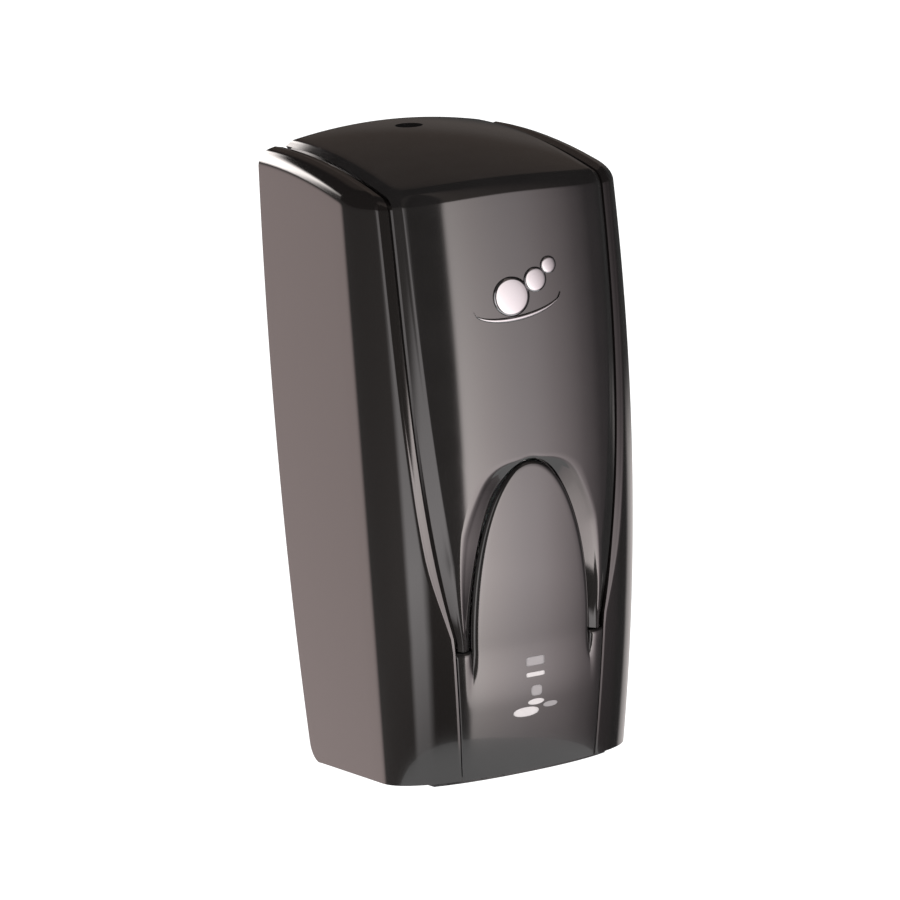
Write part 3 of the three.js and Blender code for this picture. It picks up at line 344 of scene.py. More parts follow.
def shield_grids(drop=0.0, grow=0.0, plain=False):
    """The right half of the shield's skin: its plate, its outer bevel and the bevel round the arch.

    A plain one has no bevels. It is sunk by drop and grows past the outline, for the backing.
    """
    def edge_profile(z):
        if plain:
            return [(0.0, 0.0), (-grow, 0.0)]
        return bevel_profile(shield_bevel(z), GROOVE_DROP, SHIELD_GAP)

    def height(run):
        return mix(front_edge(SHIELD_HALF)[1], COVER_BOTTOM, run - 2) if run > 2 else CREST

    edge_z = front_edge(SHIELD_HALF)[1]
    split = (edge_z - SPLIT_Z) / (edge_z - COVER_BOTTOM)
    runs = spread(TOP_ROWS) + spread(EDGE_ROWS, 1, 2)[1:] + spread(PLATE_ROWS, 2, 2 + split)[1:]

    def spot(x, run, sink):
        """A point at a run, levelled on the front so that the split lies at one height."""
        if run <= 2:
            return on_form(x, run, sink)
        share = (run - 2) / split
        return on_front(x, mix(front_edge(x)[1], SPLIT_Z, share), sink)

    plate, edge = [], []
    for run in runs:
        half, profile = shield_half(height(run)), edge_profile(height(run))
        plate.append([spot((half - profile[0][0]) * t, run, drop) for t in spread(PLATE_COLUMNS)])
        edge.append([spot(half - off, run, drop + sink) for off, sink in profile])
    grids = [plate, edge]
    # below the split: from the arch's crest out to the split line, and then to the leg's outer bevel
    foot = math.asin((TIP_END - TIP_Z) / ARCH_RISE)
    turns = spread(LEG_ROWS, foot, APEX_FROM) + spread(PLATE_COLUMNS, APEX_FROM, math.pi / 2)[1:]
    heights = spread(LEG_ROWS, TIP_END, SPLIT_Z)
    crest_grow = (lambda turn: 0.0) if plain else arch_crest
    outer = [(shield_half(z) - edge_profile(z)[0][0], z) for z in heights]
    corner = outer[-1][0]
    outer += [(corner * (1 - t), SPLIT_Z) for t in spread(PLATE_COLUMNS)[1:]]
    body_rows, arch_rows = [], []
    for turn, (xo, zo) in zip(turns, outer):
        xi, zi = arch_point(turn, crest_grow(turn))
        zi = max(zi, TIP_END)
        body_rows.append([on_front(mix(xi, xo, t), mix(zi, zo, t), drop) for t in spread(LEG_COLUMNS)])
        if not plain:
            spots = [(arch_point(turn, off), sink)
                     for off, sink in bevel_profile(crest_grow(turn), arch_drop(turn), ARCH_GAP)]
            arch_rows.append([on_front(x, max(z, TIP_END), drop + sink) for (x, z), sink in spots])
    grids.append(body_rows)
    if arch_rows:
        grids.append(arch_rows)
    grids.append([[on_front(shield_half(z) - off, z, drop + sink) for off, sink in edge_profile(z)]
                  for z in heights])
    return grids


# ---------------------------------------------------------------- flanks
RIM_DROP = 4.6
FOOT_BEVEL, FOOT_DROP, FOOT_RIM = 0.9, 0.25, 1.5
CLOSING_LENGTH = 46.0
WALL_ROWS, FOOT_ROWS, FOOT_SHARE = 40, 9, 0.05
ROUND_ROWS, LEDGE_COLUMNS = 10, 4


def gap_edge(z):
    """The flank's inner edge: its outline, its gap, its bevel's width and drop, and its rim's depth."""
    above_tips = smooth((z - TIP_END) / CLOSING_LENGTH)
    outline = shield_half(z) if z > TIP_END else seam_half(z)
    shape = ((SEAM, FLANK_GAP), (FOOT_BEVEL, FLANK_BEVEL), (FOOT_DROP, GROOVE_DROP), (FOOT_RIM, RIM_DROP))
    return outline, *(mix(foot, top, above_tips) for foot, top in shape)


def rear_limit(z):
    """The cover's rear edge, rounded about the hinge at the foot."""
    if z >= HINGE_Z:
        return REAR_Y
    reach = abs(REAR_Y - HINGE_Y)
    return HINGE_Y + math.sqrt(max(0.0, reach * reach - (z - HINGE_Z) ** 2))


def flank_section(z, inset, crest, columns=26, side_columns=8):
    """Plan points from the groove's crest round the corner and back along the side."""
    half, side = half_width(z) - inset, SIDE_SHARE * front_depth(z)
    bulge = front_depth(z) - inset - side
    start = math.acos(min(1.0, (crest / half) ** (BOW / 2)))
    points = []
    for t in spread(columns):
        turn = start * (1 - t)
        points.append((half * math.cos(turn) ** (2 / BOW), -(side + bulge * math.sin(turn) ** (2 / BOW))))
    for t in spread(side_columns)[1:]:
        points.append((half, mix(-side, rear_limit(z), t)))
    return points


def groove_crest(z):
    """Half the distance between the crests of the two flanks' bevels."""
    outline, gap, bevel, _, _ = gap_edge(z)
    return outline + gap + bevel


def foot_heights(columns):
    """The height of each column's foot on the cover's sloping lower edge, found in a few rounds."""
    heights = [foot_edge(-MIDDLE_DEPTH)] * columns
    for _ in range(3):
        heights = [foot_edge(flank_section(z, 0, groove_crest(z))[i][1]) for i, z in enumerate(heights)]
    return heights


def flank_grids():
    """The right flank: its wall and rounded top edge, its ledge on top, and the bevel along the groove."""
    crest_top = SHIELD_HALF + FLANK_GAP + FLANK_BEVEL
    edge_z = CREST - EDGE_DROP
    wall_rim, top_rim = flank_section(edge_z, 0, crest_top), flank_section(edge_z, TOP_ROUND, crest_top)
    edges = [top_height(x, y) - TOP_ROUND for x, y in wall_rim]
    feet = foot_heights(len(edges))
    levels = [FOOT_SHARE * t * t for t in spread(FOOT_ROWS)] + spread(WALL_ROWS, FOOT_SHARE, 1)[1:]
    rows, stations = [], []
    for level in levels:
        row = []
        for i, (foot, edge) in enumerate(zip(feet, edges)):
            z = mix(foot, edge, level)
            row.append((*flank_section(z, 0, groove_crest(z))[i], z))
        rows.append(row)
        stations.append(("front", row[0][2]))
    lows = rows[-1]
    highs = [(x, y, top_height(x, y)) for x, y in top_rim]
    for t in spread(ROUND_ROWS)[1:]:
        row = []
        for low, high in zip(lows, highs):
            lead = EDGE_LEAD if low is lows[0] else 0
            corner = (low[0], low[1] + lead, top_height(low[0], low[1]))
            row.append(arc(low, corner, high, t))
        rows.append(row)
        stations.append(("form", 2 - t))
    top = []
    front_y = highs[0][1]
    for x, y, _ in rows[-1]:
        across = [mix(x, crest_top, t) for t in spread(LEDGE_COLUMNS)]
        top.append([(at, y, top_height(at, y)) for at in across])
        stations.append(("form", (y - REAR_Y) / (front_y - REAR_Y)))
    # the bevel into the groove and the rim below it, along the whole inner edge
    starts = [row[0] for row in rows] + [row[-1] for row in top]
    bevel_rows = []
    for (kind, value), start in zip(stations, starts):
        outline, gap, bevel, drop, rim = gap_edge(value if kind == "front" else CREST)
        profile = bevel_profile(gap + bevel, drop, gap)[1:] + [(gap, mix(drop, rim, 0.3)), (gap, rim)]
        place = on_front if kind == "front" else on_form
        bevel_rows.append([start] + [place(outline + off, value, sink) for off, sink in profile])
    return [rows, top, bevel_rows]


# ---------------------------------------------------------------- thumb panel
def panel_depth(x, z, sink=0.0, apart=0.0):
    """The thumb panel's surface: a little below the form in the arch, and flush at the foot."""
    above_foot = smooth((z + 112) / 30)
    towards_apex = smooth((z + 40) / 40)
    recess = PANEL_RECESS * above_foot * (1 - 0.5 * towards_apex) * (1 - smooth(apart / 3))
    return surface_depth(x, z) - recess - sink


def panel_at(x, z, sink=0.0, apart=0.0):
    return x, -panel_depth(x, z, sink, apart), z


# the tongue's rounded rim: distance in from its outline, and depth below its surface
SOFT_EDGE = [(2.6, 0.0), (2.0, 0.04), (1.4, 0.16), (0.9, 0.38), (0.5, 0.68), (0.2, 1.05), (0.05, 1.45),
             (0.0, 1.9)]
# the foot's surface beside the tongue: distance out, and depth below its surface
VALLEY_EDGE = [(0.0, 1.9), (0.25, 0.9), (0.7, 0.35), (1.4, 0.08), (2.4, 0.0)]
FOOT_Z = TIP_END - 2 * SEAM
VALLEY_LENGTH = 13.0
TONGUE_ROWS, TONGUE_COLUMNS, PANEL_FOOT_ROWS = 56, 12, 22


def foot_point(x, z, sink=0.0, apart=0.0):
    """A point of the panel's foot, whose last row lies on the cover's sloping lower edge."""
    down = (FOOT_Z - z) / (FOOT_Z - COVER_BOTTOM)
    return panel_at(x, mix(FOOT_Z, foot_edge(-panel_depth(x, COVER_BOTTOM)), down), sink, apart)


def panel_grids():
    """The right half of the thumb panel: its tongue with a soft edge, and its foot below the legs."""
    tongue, rim = [], []
    start = math.asin((FOOT_Z - TIP_Z) / ARCH_RISE)
    for turn in spread(TONGUE_ROWS, start, math.pi / 2):
        spots = []
        for off, sink in SOFT_EDGE:
            x, z = arch_point(turn, -ARCH_GAP - off)
            spots.append((x, FOOT_Z if turn == start else z, sink))
        tongue.append([panel_at(spots[0][0] * c, spots[0][1]) for c in spread(TONGUE_COLUMNS)])
        rim.append([panel_at(*spot) for spot in spots])
    columns = [(arch_point(start, -ARCH_GAP - off)[0], sink) for off, sink in SOFT_EDGE]
    edge = columns[-1][0]
    # the foot's rows: those of its rounded top edge, under the legs' tips, and then down to its lower edge
    rows = [(FOOT_Z - off, sink) for off, sink in SOFT_EDGE[:0:-1]]
    rows += [(z, 0.0) for z in spread(PANEL_FOOT_ROWS, FOOT_Z - SOFT_EDGE[0][0], COVER_BOTTOM)]
    inner, outer = [], []
    for z, lip in rows:
        fade = 1 - smooth((FOOT_Z - z) / VALLEY_LENGTH)
        inner.append([foot_point(columns[0][0] * c, z) for c in spread(TONGUE_COLUMNS)]
                     + [foot_point(x, z, sink * fade) for x, sink in columns[1:]])
        side, flat = seam_half(z) - SEAM, VALLEY_EDGE[-1][0]
        row = [(edge + off, max(sink * fade, lip if off else 0), off) for off, sink in VALLEY_EDGE]
        row += [(mix(edge + flat, side - 0.8, t), lip, mix(flat, 6, t)) for t in spread(3)[1:]]
        row += [(side - 0.3, max(0.08, lip), 6), (side, max(0.3, lip), 6)]
        outer.append([foot_point(x, z, sink, apart) for x, sink, apart in row])
    return [tongue, rim, inner, outer]


# ---------------------------------------------------------------- materials
COLOUR_A, COLOUR_B, MIXED_COLOUR = 6, 7, 2  # a Mix node's colour sockets


def shader(name, base, roughness, metallic=0.0):
    """A material with its Principled shader, and helpers that add nodes and link them to the shader."""
    material = bpy.data.materials.new(name)
    material.use_nodes = True
    nodes, links = material.node_tree.nodes, material.node_tree.links
    principled = nodes["Principled BSDF"]
    principled.inputs["Base Color"].default_value = (*base, 1)
    principled.inputs["Roughness"].default_value = roughness
    principled.inputs["Metallic"].default_value = metallic

    def add(kind, inputs=(), **settings):
        node = nodes.new(kind)
        for key, value in settings.items():
            setattr(node, key, value)
        for key, value in dict(inputs).items():
            if isinstance(value, bpy.types.NodeSocket):
                links.new(value, node.inputs[key])
            else:
                node.inputs[key].default_value = value
        return node

    def link(source, target):
        links.new(source, principled.inputs[target])

    return material, principled, add, link


def grained(name, base, roughness, grain=900.0, bump=0.08, vary=0.15, metallic=0.0, coat=0.0, stretch=None,
            rough_vary=0.06):
    """Moulded plastic or plain metal: a fine grain in bump, and slow changes of tone and roughness."""
    material, principled, add, link = shader(name, base, roughness, metallic)
    place = add("ShaderNodeTexCoord").outputs["Object"]
    if stretch:
        place = add("ShaderNodeMapping", {"Vector": place, "Scale": stretch}).outputs["Vector"]
    fine = add("ShaderNodeTexNoise", {"Vector": place, "Scale": grain, "Detail": 3.0})
    slow = add("ShaderNodeTexNoise", {"Vector": place, "Scale": grain * 0.03, "Detail": 4.0})
    dark = tuple(c * (1 - vary) for c in base)
    light = tuple(min(1.0, c * (1 + vary)) for c in base)
    tone = add("ShaderNodeMix", {"Factor": slow.outputs["Fac"]}, data_type="RGBA")
    tone.inputs[COLOUR_A].default_value = (*dark, 1)
    tone.inputs[COLOUR_B].default_value = (*light, 1)
    link(tone.outputs[MIXED_COLOUR], "Base Color")
    least, most = max(0.02, roughness - rough_vary), roughness + rough_vary
    rough = add("ShaderNodeMapRange", {"Value": slow.outputs["Fac"], "To Min": least, "To Max": most})
    link(rough.outputs["Result"], "Roughness")
    relief = add("ShaderNodeBump", {"Height": fine.outputs["Fac"], "Strength": bump, "Distance": 0.1 * MM})
    link(relief.outputs["Normal"], "Normal")
    principled.inputs["Coat Weight"].default_value = coat
    principled.inputs["Coat Roughness"].default_value = 0.03
    return material


def board_material(name):
    """Green solder mask with copper tracks showing through it."""
    material, _, add, link = shader(name, (0.012, 0.10, 0.04), 0.35)
    place = add("ShaderNodeTexCoord").outputs["Object"]
    upright = add("ShaderNodeMapping", {"Vector": place, "Rotation": (math.pi / 2, 0, 0)})
    cells = add("ShaderNodeTexBrick", {"Vector": upright.outputs[0], "Scale": 140.0, "Mortar Size": 0.09,
                                       "Color1": (0.010, 0.10, 0.038, 1), "Color2": (0.014, 0.12, 0.045, 1),
                                       "Mortar": (0.03, 0.22, 0.07, 1)})
    link(cells.outputs["Color"], "Base Color")
    relief = add("ShaderNodeBump", {"Height": cells.outputs["Fac"], "Strength": 0.3, "Distance": 0.05 * MM})
    link(relief.outputs["Normal"], "Normal")
    return material


def clear_material(name, tint, clearness, roughness=0.05):
    """A clear plastic with a fine haze."""
    material, principled, add, link = shader(name, tint, roughness)
    principled.inputs["Transmission Weight"].default_value = clearness
    principled.inputs["IOR"].default_value = 1.49
    haze = add("ShaderNodeTexNoise", {"Scale": 700.0})
    rough = add("ShaderNodeMapRange", {"Value": haze.outputs["Fac"], "To Min": roughness,
                                       "To Max": roughness + 0.05})
    link(rough.outputs["Result"], "Roughness")
    return material


def film_material(name):
    """The pouch's milky film, with fine creases."""
    material, principled, add, link = shader(name, (0.74, 0.77, 0.76), 0.25)
    place = add("ShaderNodeTexCoord").outputs["Object"]
    crease = add("ShaderNodeTexNoise", {"Vector": place, "Scale": 55.0, "Detail": 5.0, "Distortion": 1.4})
    relief = add("ShaderNodeBump", {"Height": crease.outputs["Fac"], "Strength": 0.5, "Distance": 1.2 * MM})
    link(relief.outputs["Normal"], "Normal")
    principled.inputs["Subsurface Weight"].default_value = 0.4
    principled.inputs["Subsurface Radius"].default_value = (0.01, 0.01, 0.01)
    principled.inputs["Coat Weight"].default_value = 0.5
    return material


MATERIALS = {
    "black_gloss": grained("black_gloss", (0.0085, 0.0072, 0.0069), 0.10, 220.0, 0.010, 0.12, coat=0.6,
                           rough_vary=0.02),
    "black_pearl": grained("black_pearl", (0.0105, 0.0095, 0.0094), 0.12, 2600.0, 0.012, 0.25, coat=0.6,
                           rough_vary=0.02),
    "black_matt": grained("black_matt", (0.020, 0.020, 0.021), 0.5, 1500.0, 0.35),
    "dark_grey_abs": grained("dark_grey_abs", (0.045, 0.046, 0.050), 0.45, 1500.0, 0.3),
    "white_plastic": grained("white_plastic", (0.78, 0.77, 0.73), 0.35, 900.0, 0.06, 0.04),
    "nylon": grained("nylon", (0.74, 0.69, 0.56), 0.4, 900.0, 0.06, 0.06),
    "pouch_film": film_material("pouch_film"),
    "circuit_board": board_material("circuit_board"),
    "chip_black": grained("chip_black", (0.012, 0.012, 0.014), 0.45, 3000.0, 0.3),
    "cell_sleeve": grained("cell_sleeve", (0.028, 0.030, 0.034), 0.25, 600.0, 0.03),
    "clear_lens": clear_material("clear_lens", (0.75, 0.80, 0.88), 0.9),
    "smoked_window": clear_material("smoked_window", (0.06, 0.006, 0.008), 0.5),
    "red_insulation": grained("red_insulation", (0.45, 0.016, 0.012), 0.35, 900.0, 0.1),
    "black_insulation": grained("black_insulation", (0.012, 0.012, 0.012), 0.35, 900.0, 0.1),
    "steel": grained("steel", (0.52, 0.53, 0.55), 0.28, 500.0, 0.06, 0.06, 1.0, stretch=(1, 1, 14)),
    "polished_steel": grained("polished_steel", (0.72, 0.73, 0.75), 0.09, 500.0, 0.01, 0.03, 1.0,
                              rough_vary=0.03),
    "brass": grained("brass", (0.62, 0.45, 0.16), 0.25, 500.0, 0.05, 0.08, 1.0),
}
WHITE_PRINT = grained("white_print", (0.62, 0.58, 0.58), 0.3, 2000.0, 0.05, 0.03)
GREY_PRINT = grained("grey_print", (0.30, 0.28, 0.285), 0.3, 2000.0, 0.05, 0.03)
BADGE_METAL = grained("badge_metal", (0.34, 0.34, 0.35), 0.16, 500.0, 0.01, 0.03, 1.0, rough_vary=0.03)

# ---------------------------------------------------------------- the cover and what is on it
SHELL, PANEL_THICK = 2.8, 2.6
BACKING_FRONT, BACKING_THICK, BACKING_GROW = 4.3, 2.3, 3.0
skin("cover_flank_right", flank_grids(), SHELL, "front_cover")
skin("cover_flank_left", reflected(flank_grids()), SHELL, "front_cover")
skin("cover_backing", mirrored(shield_grids(BACKING_FRONT, BACKING_GROW, plain=True)), BACKING_THICK,
     "front_cover", hole=True)
skin("centre_shield", mirrored(shield_grids()), PANEL_THICK, "shield", hole=True)
skin("tongue_panel", mirrored(panel_grids()), PANEL_THICK, "thumb_panel")


def knuckle(name, side, start=52.4, radius=5.4, bore=2.35, sides=48):
    """A tube on the cover that turns about a hinge pin, from the hinge's ear to the cover's wall."""
    end = half_width(HINGE_Z) - SHELL + 0.4
    profile = [(start, bore), (start, radius - 0.4), (start + 0.4, radius), (end, radius), (end, bore)]
    mesh = bmesh.new()
    rings = []
    turns = spread(sides, 0, 2 * math.pi)
    for x, r in profile + profile[:1]:
        ring = [(side * x, HINGE_Y + r * math.cos(a), HINGE_Z + r * math.sin(a)) for a in turns]
        rings.append([mesh.verts.new(Vector(point) * MM) for point in ring])
    for low, high in zip(rings, rings[1:]):
        for i in range(sides):
            mesh.faces.new((low[i], low[i + 1], high[i + 1], high[i]))
    bmesh.ops.remove_doubles(mesh, verts=mesh.verts, dist=0.01 * MM)
    bmesh.ops.recalc_face_normals(mesh, faces=mesh.faces)
    finished(name, mesh, "front_cover", FINE_SHARP)


knuckle("cover_knuckle_right", 1)
knuckle("cover_knuckle_left", -1)


def surface_patch(name, rings, depth_at, lifts, thickness, material, replaced=()):
    """A thin raised shape on the cover: rings of (x, z) points, and each ring's lift above a surface."""
    mesh = bmesh.new()
    rows = []
    for ring, lift in zip(rings, lifts):
        rows.append([mesh.verts.new(Vector((x, -depth_at(x, z) - lift, z)) * MM) for x, z in ring])
    for low, high in zip(rows, rows[1:]):
        for i in range(len(low) - 1):
            mesh.faces.new((low[i], low[i + 1], high[i + 1], high[i]))
    bmesh.ops.remove_doubles(mesh, verts=mesh.verts, dist=0.002 * MM)
    bmesh.ops.recalc_face_normals(mesh, faces=mesh.faces)
    if sum(f.normal.y * f.calc_area() for f in mesh.faces) > 0:
        bmesh.ops.reverse_faces(mesh, faces=mesh.faces)
    piece = placed(name, mesh)
    piece.data.shade_smooth()
    thickened(piece, thickness)
    piece.data.materials.append(material)
    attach(piece, "cover")
    if replaced:
        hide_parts(*replaced)


def disc(cx, cz, rx, rz, rings=5, sides=36, power=2.0):
    """Rings of a filled ellipse, or of a rounded box at a higher power."""
    out = []
    for k in range(rings + 1):
        ring = []
        for i in range(sides + 1):
            a = 2 * math.pi * i / sides
            c, s = math.cos(a), math.sin(a)
            x = math.copysign(abs(c) ** (2 / power), c)
            z = math.copysign(abs(s) ** (2 / power), s)
            ring.append((cx + rx * x * k / rings, cz + rz * z * k / rings))
        out.append(ring)
    return out


def crescent(centre_x, centre_z, half, deep, thin, tilt, steps=32):
    """A curved line that is thickest in its middle."""
    rows = []
    for share in spread(4):
        row = []
        for t in spread(steps, -1, 1):
            bend = math.sqrt(max(0.0, 1 - t * t))
            row.append((centre_x + half * t, centre_z - mix(deep, thin, share) * bend + tilt * t))
        rows.append(row)
    return rows


PRINT_LIFT, PRINT_THICK = 0.05, 0.04
BADGE_THICK, BUBBLE_RINGS = 0.3, 6


def print_picture():
    """The pale picture low on the tongue: a spout over a drop, foam and an open hand."""
    x, top = 0.3, -91.0
    shapes = {
        "spout": (disc(x, top - 2.1, 4.5, 2.1, power=8.0), GREY_PRINT),
        "lip": (disc(x, top - 8.3, 4.5, 1.0, power=8.0), WHITE_PRINT),
        "drop": (disc(x + 0.5, top - 16.0, 2.7, 2.5, power=3.2), GREY_PRINT),
        "foam": (disc(x + 0.2, top - 21.3, 4.0, 1.4), WHITE_PRINT),
        "palm": (disc(x - 4.6, top - 25.4, 6.2, 2.2, power=2.2), WHITE_PRINT),
        "fingers": (disc(x + 7.4, top - 23.6, 3.6, 1.3, power=2.2), GREY_PRINT),
    }
    for name, (rings, material) in shapes.items():
        lifts = [PRINT_LIFT] * len(rings)
        surface_patch(f"print_{name}", rings, panel_depth, lifts, PRINT_THICK, material)


def badge():
    """Three domed bubbles on a curved line, standing just proud of the shield."""
    bubbles = [(-4, 71, 8.6), (8, 77, 5.4), (15, 82.5, 3.8)]
    dome = [0.25 + 0.55 * math.sqrt(1 - t * t * 0.98) for t in spread(BUBBLE_RINGS)]
    for i, (x, z, r) in enumerate(bubbles):
        surface_patch(f"badge_bubble_{i + 1}", disc(x, z, r, r, BUBBLE_RINGS, 48), surface_depth, dome,
                      BADGE_THICK, BADGE_METAL, ["badge"])
    ridge = [0.2, 0.55, 0.65, 0.55, 0.2]
    surface_patch("badge_line", crescent(-1, 68.2, 21, 7.8, 5.6, 2), surface_depth, ridge,
                  BADGE_THICK, BADGE_METAL, ["badge"])


print_picture()
badge()


# ---------------------------------------------------------------- inner pieces
def soften(node, width):
    """The CAD piece with rounded edges and smooth shading between them."""
    mesh = bmesh.new()
    mesh.from_mesh(frame["nodes"][node].data)
    bmesh.ops.remove_doubles(mesh, verts=mesh.verts, dist=0.002 * MM)
    bmesh.ops.dissolve_limit(mesh, angle_limit=math.radians(1.0), verts=mesh.verts, edges=mesh.edges)
    piece = placed(f"{node}_fine", mesh)
    piece.data.shade_smooth()
    piece.data.set_sharp_from_angle(angle=math.radians(FINE_SHARP))
    rounded_edges(piece, width, FINE_ROUND_ANGLE)
    stand_for(piece, node)


FINE_EDGE = {"output_gear": 0.06, "middle_gear": 0.06, "motor_pinion": 0.05, "lock_plug_and_cam": 0.15,
             "lid_pin": 0.05, "controller_chip": 0.15}
REBUILT = {"front_cover", "shield", "thumb_panel", "badge", "soap_pouch"}
for node in sorted(frame["nodes"]):
    if node not in REBUILT:
        soften(node, FINE_EDGE.get(node, EDGE_ROUND))


POUCH_BOXINESS, POUCH_SHARP = 4.6, 80.0


def pouch():
    """The full soap pouch: a rounded bag with shallow dents, and creases towards its ends."""
    low, high = (np.array(corner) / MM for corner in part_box("soap_pouch"))
    middle, half = (low + high) / 2, (high - low) / 2
    mesh = bmesh.new()
    bmesh.ops.create_uvsphere(mesh, u_segments=72, v_segments=48, radius=1)
    for v in mesh.verts:
        size = sum(abs(c) ** POUCH_BOXINESS for c in v.co) ** (1 / POUCH_BOXINESS)
        p = Vector(v.co / size)
        dent = 0.5 + 0.5 * noise.noise(Vector((p.x * 2.2, p.y * 2.2, p.z * 3.1)))
        crease = abs(noise.noise(Vector((p.x * 5, p.y * 5, p.z * 2.0)) + Vector((7, 3, 1))))
        pull = 1 - 0.022 * dent - 0.03 * crease * smooth((abs(p.z) - 0.45) / 0.5)
        v.co = Vector([middle[k] + half[k] * p[k] * pull for k in range(3)]) * MM
    finished("soap_pouch_film", mesh, "soap_pouch", POUCH_SHARP)


pouch()


# ---------------------------------------------------------------- floor, light and camera
FLOOR_RADIUS, FLOOR_GAP = 0.6, 0.30


def floor():
    """A plain pale floor well below the dispenser."""
    mesh = bmesh.new()
    bmesh.ops.create_circle(mesh, cap_ends=True, segments=96, radius=FLOOR_RADIUS)
    plane = placed("floor", mesh)
    plane.location = (0, 0, cad_box[0][2] - FLOOR_GAP)
    plane.data.materials.append(shader("floor_white", (0.92, 0.92, 0.92), 0.9)[0])


def grey(value):
    return (value, value, value)


# what glossy rays see: radiance by azimuth from the front in degrees, times a share by height in degrees
GAIN = 10.0
AROUND = [
    (-180, grey(0.05)), (-64, (0.22, 0.20, 0.19)), (-57, (1.6, 1.52, 1.52)), (-41, (1.6, 1.52, 1.52)),
    (-33, (0.10, 0.09, 0.085)), (-3, (0.12, 0.11, 0.10)), (-0.5, (4.5, 4.1, 4.0)), (12, (3.6, 3.2, 3.15)),
    (25, (2.7, 2.4, 2.42)), (35, (1.85, 1.6, 1.62)), (51, (0.75, 0.64, 0.66)), (64, (0.2, 0.17, 0.18)),
    (90, grey(0.05)), (180, grey(0.05)),
]
UPWARD = [
    (-90, grey(0.3)), (-34, grey(0.6)), (-28, grey(1.1)), (-22, grey(1.5)), (-12, grey(1.17)),
    (-6, grey(1.05)), (4, grey(0.8)), (13, grey(0.75)), (18, (0.06, 0.055, 0.05)), (90, (0.06, 0.055, 0.05)),
]
# more panels: azimuth from the front or the back and its blur, height and its blur, radiance
PANELS = [
    ("back", (12, 33), 6, (-60, 2), 5, (0.75, 0.60, 0.58)),
    ("back", (-42, -12), 6, (4, 45), 5, (0.065, 0.05, 0.042)),
    ("back", (-5, 26), 3, (8, 25), 3, (6.0, 5.6, 5.4)),
    ("front", (108, 142), 6, (-40, -12), 2, (0.8, 0.74, 0.72)),
]
SOFT_LIGHT = 1.25


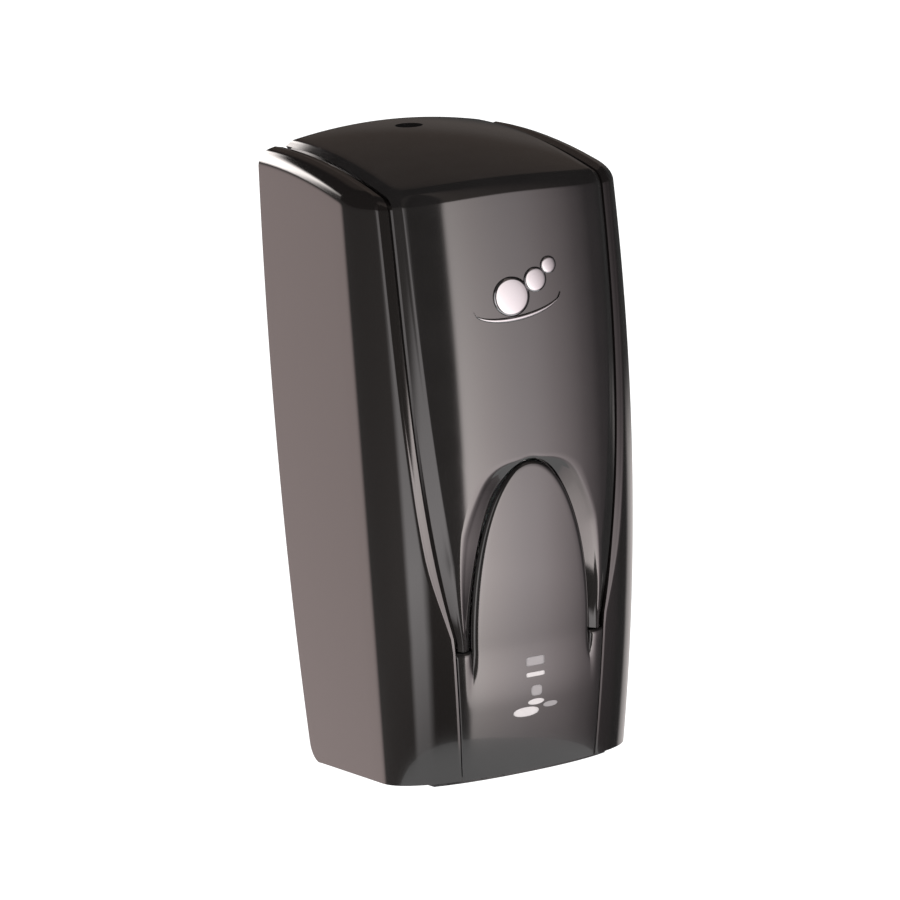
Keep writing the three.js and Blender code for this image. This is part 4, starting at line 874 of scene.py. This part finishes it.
def studio():
    """A soft white studio. Only glossy rays see its panels."""
    world = bpy.data.worlds.new("studio")
    bpy.context.scene.world = world
    world.use_nodes = True
    nodes, links = world.node_tree.nodes, world.node_tree.links
    nodes.clear()

    def add(kind, **settings):
        node = nodes.new(kind)
        for key, value in settings.items():
            setattr(node, key, value)
        return node

    def math_node(operation, *values):
        node = add("ShaderNodeMath", operation=operation)
        for socket, value in zip(node.inputs, values):
            if isinstance(value, (int, float)):
                socket.default_value = value
            else:
                links.new(value, socket)
        return node.outputs[0]

    def step(value, low, high, interpolation="SMOOTHSTEP"):
        """Goes from 0 at low to 1 at high."""
        span = add("ShaderNodeMapRange", interpolation_type=interpolation)
        links.new(value, span.inputs["Value"])
        span.inputs["From Min"].default_value = low
        span.inputs["From Max"].default_value = high
        return span.outputs["Result"]

    def ramp(value, stops, gain):
        """Colours by value, divided by a gain because a ramp's colours stay below 1."""
        low, high = stops[0][0], stops[-1][0]
        node = add("ShaderNodeValToRGB")
        links.new(step(value, low, high, "LINEAR"), node.inputs["Fac"])
        elements = node.color_ramp.elements
        elements[0].position, elements[-1].position = 0.0, 1.0
        for at, _ in stops[1:-1]:
            elements.new((at - low) / (high - low))
        for stop, (_, colour) in zip(elements, stops):
            stop.color = (*[c / gain for c in colour], 1)
        return node.outputs["Color"]

    def blend(kind, a, b):
        node = add("ShaderNodeMix", data_type="RGBA", blend_type=kind)
        node.inputs["Factor"].default_value = 1.0
        for socket, value in ((node.inputs[COLOUR_A], a), (node.inputs[COLOUR_B], b)):
            if isinstance(value, tuple):
                socket.default_value = value
            else:
                links.new(value, socket)
        return node.outputs[MIXED_COLOUR]

    def window(value, span, blur):
        """1 inside a span and 0 outside it, with soft ends."""
        rise = step(value, span[0] - blur, span[0] + blur)
        fall = math_node("SUBTRACT", 1.0, step(value, span[1] - blur, span[1] + blur))
        return math_node("MULTIPLY", rise, fall)

    split = add("ShaderNodeSeparateXYZ")
    links.new(add("ShaderNodeTexCoord").outputs["Generated"], split.inputs[0])
    x, y, z = split.outputs
    degrees = 180 / math.pi
    bearing = {
        "front": math_node("MULTIPLY", math_node("ARCTAN2", x, math_node("MULTIPLY", y, -1.0)), degrees),
        "back": math_node("MULTIPLY", math_node("ARCTAN2", math_node("MULTIPLY", x, -1.0), y), degrees),
    }
    height = math_node("MULTIPLY", math_node("ARCSINE", z), degrees)
    light = blend("MULTIPLY", ramp(bearing["front"], AROUND, GAIN), ramp(height, UPWARD, 1.0))
    for side, around, blur, tall, tall_blur, colour in PANELS:
        inside = math_node("MULTIPLY", window(bearing[side], around, blur), window(height, tall, tall_blur))
        light = blend("ADD", light, blend("MULTIPLY", inside, (*[c / GAIN for c in colour], 1)))
    panels = add("ShaderNodeBackground")
    panels.inputs["Strength"].default_value = GAIN
    links.new(light, panels.inputs["Color"])
    plain = add("ShaderNodeBackground")
    plain.inputs["Color"].default_value = (1, 1, 1, 1)
    plain.inputs["Strength"].default_value = SOFT_LIGHT
    rays = add("ShaderNodeLightPath")
    choose = add("ShaderNodeMixShader")
    links.new(rays.outputs["Is Glossy Ray"], choose.inputs["Fac"])
    links.new(plain.outputs[0], choose.inputs[1])
    links.new(panels.outputs[0], choose.inputs[2])
    out = add("ShaderNodeOutputWorld")
    links.new(choose.outputs[0], out.inputs["Surface"])


AZIMUTH, ELEVATION, ROLL = (math.radians(a) for a in (-24.96, 11.8, 3.41))
TARGET, DISTANCE = Vector((0, -0.060, 0)), 1.5
LENS, SENSOR, SHIFT_X, SHIFT_Y = 132.6, 36.0, -0.009778, -0.021333


def camera():
    """The camera, a little above the dispenser and to its left, and tilted a little."""
    back = Vector((math.sin(AZIMUTH) * math.cos(ELEVATION), -math.cos(AZIMUTH) * math.cos(ELEVATION),
                   math.sin(ELEVATION)))
    right = Vector((math.cos(AZIMUTH), math.sin(AZIMUTH), 0))
    up = back.cross(right)
    tilted_right = right * math.cos(ROLL) - up * math.sin(ROLL)
    tilted_up = up * math.cos(ROLL) + right * math.sin(ROLL)
    view = bpy.data.cameras.new("camera")
    view.lens, view.sensor_width = LENS, SENSOR
    view.clip_start = 0.05
    view.shift_x, view.shift_y = SHIFT_X, SHIFT_Y
    eye = bpy.data.objects.new("camera", view)
    turn = Matrix((tilted_right, tilted_up, back)).transposed().to_4x4()
    eye.matrix_world = Matrix.Translation(TARGET + back * DISTANCE) @ turn
    bpy.context.scene.collection.objects.link(eye)
    bpy.context.scene.camera = eye


floor()
studio()
camera()
bpy.context.scene.view_settings.view_transform = "Standard"
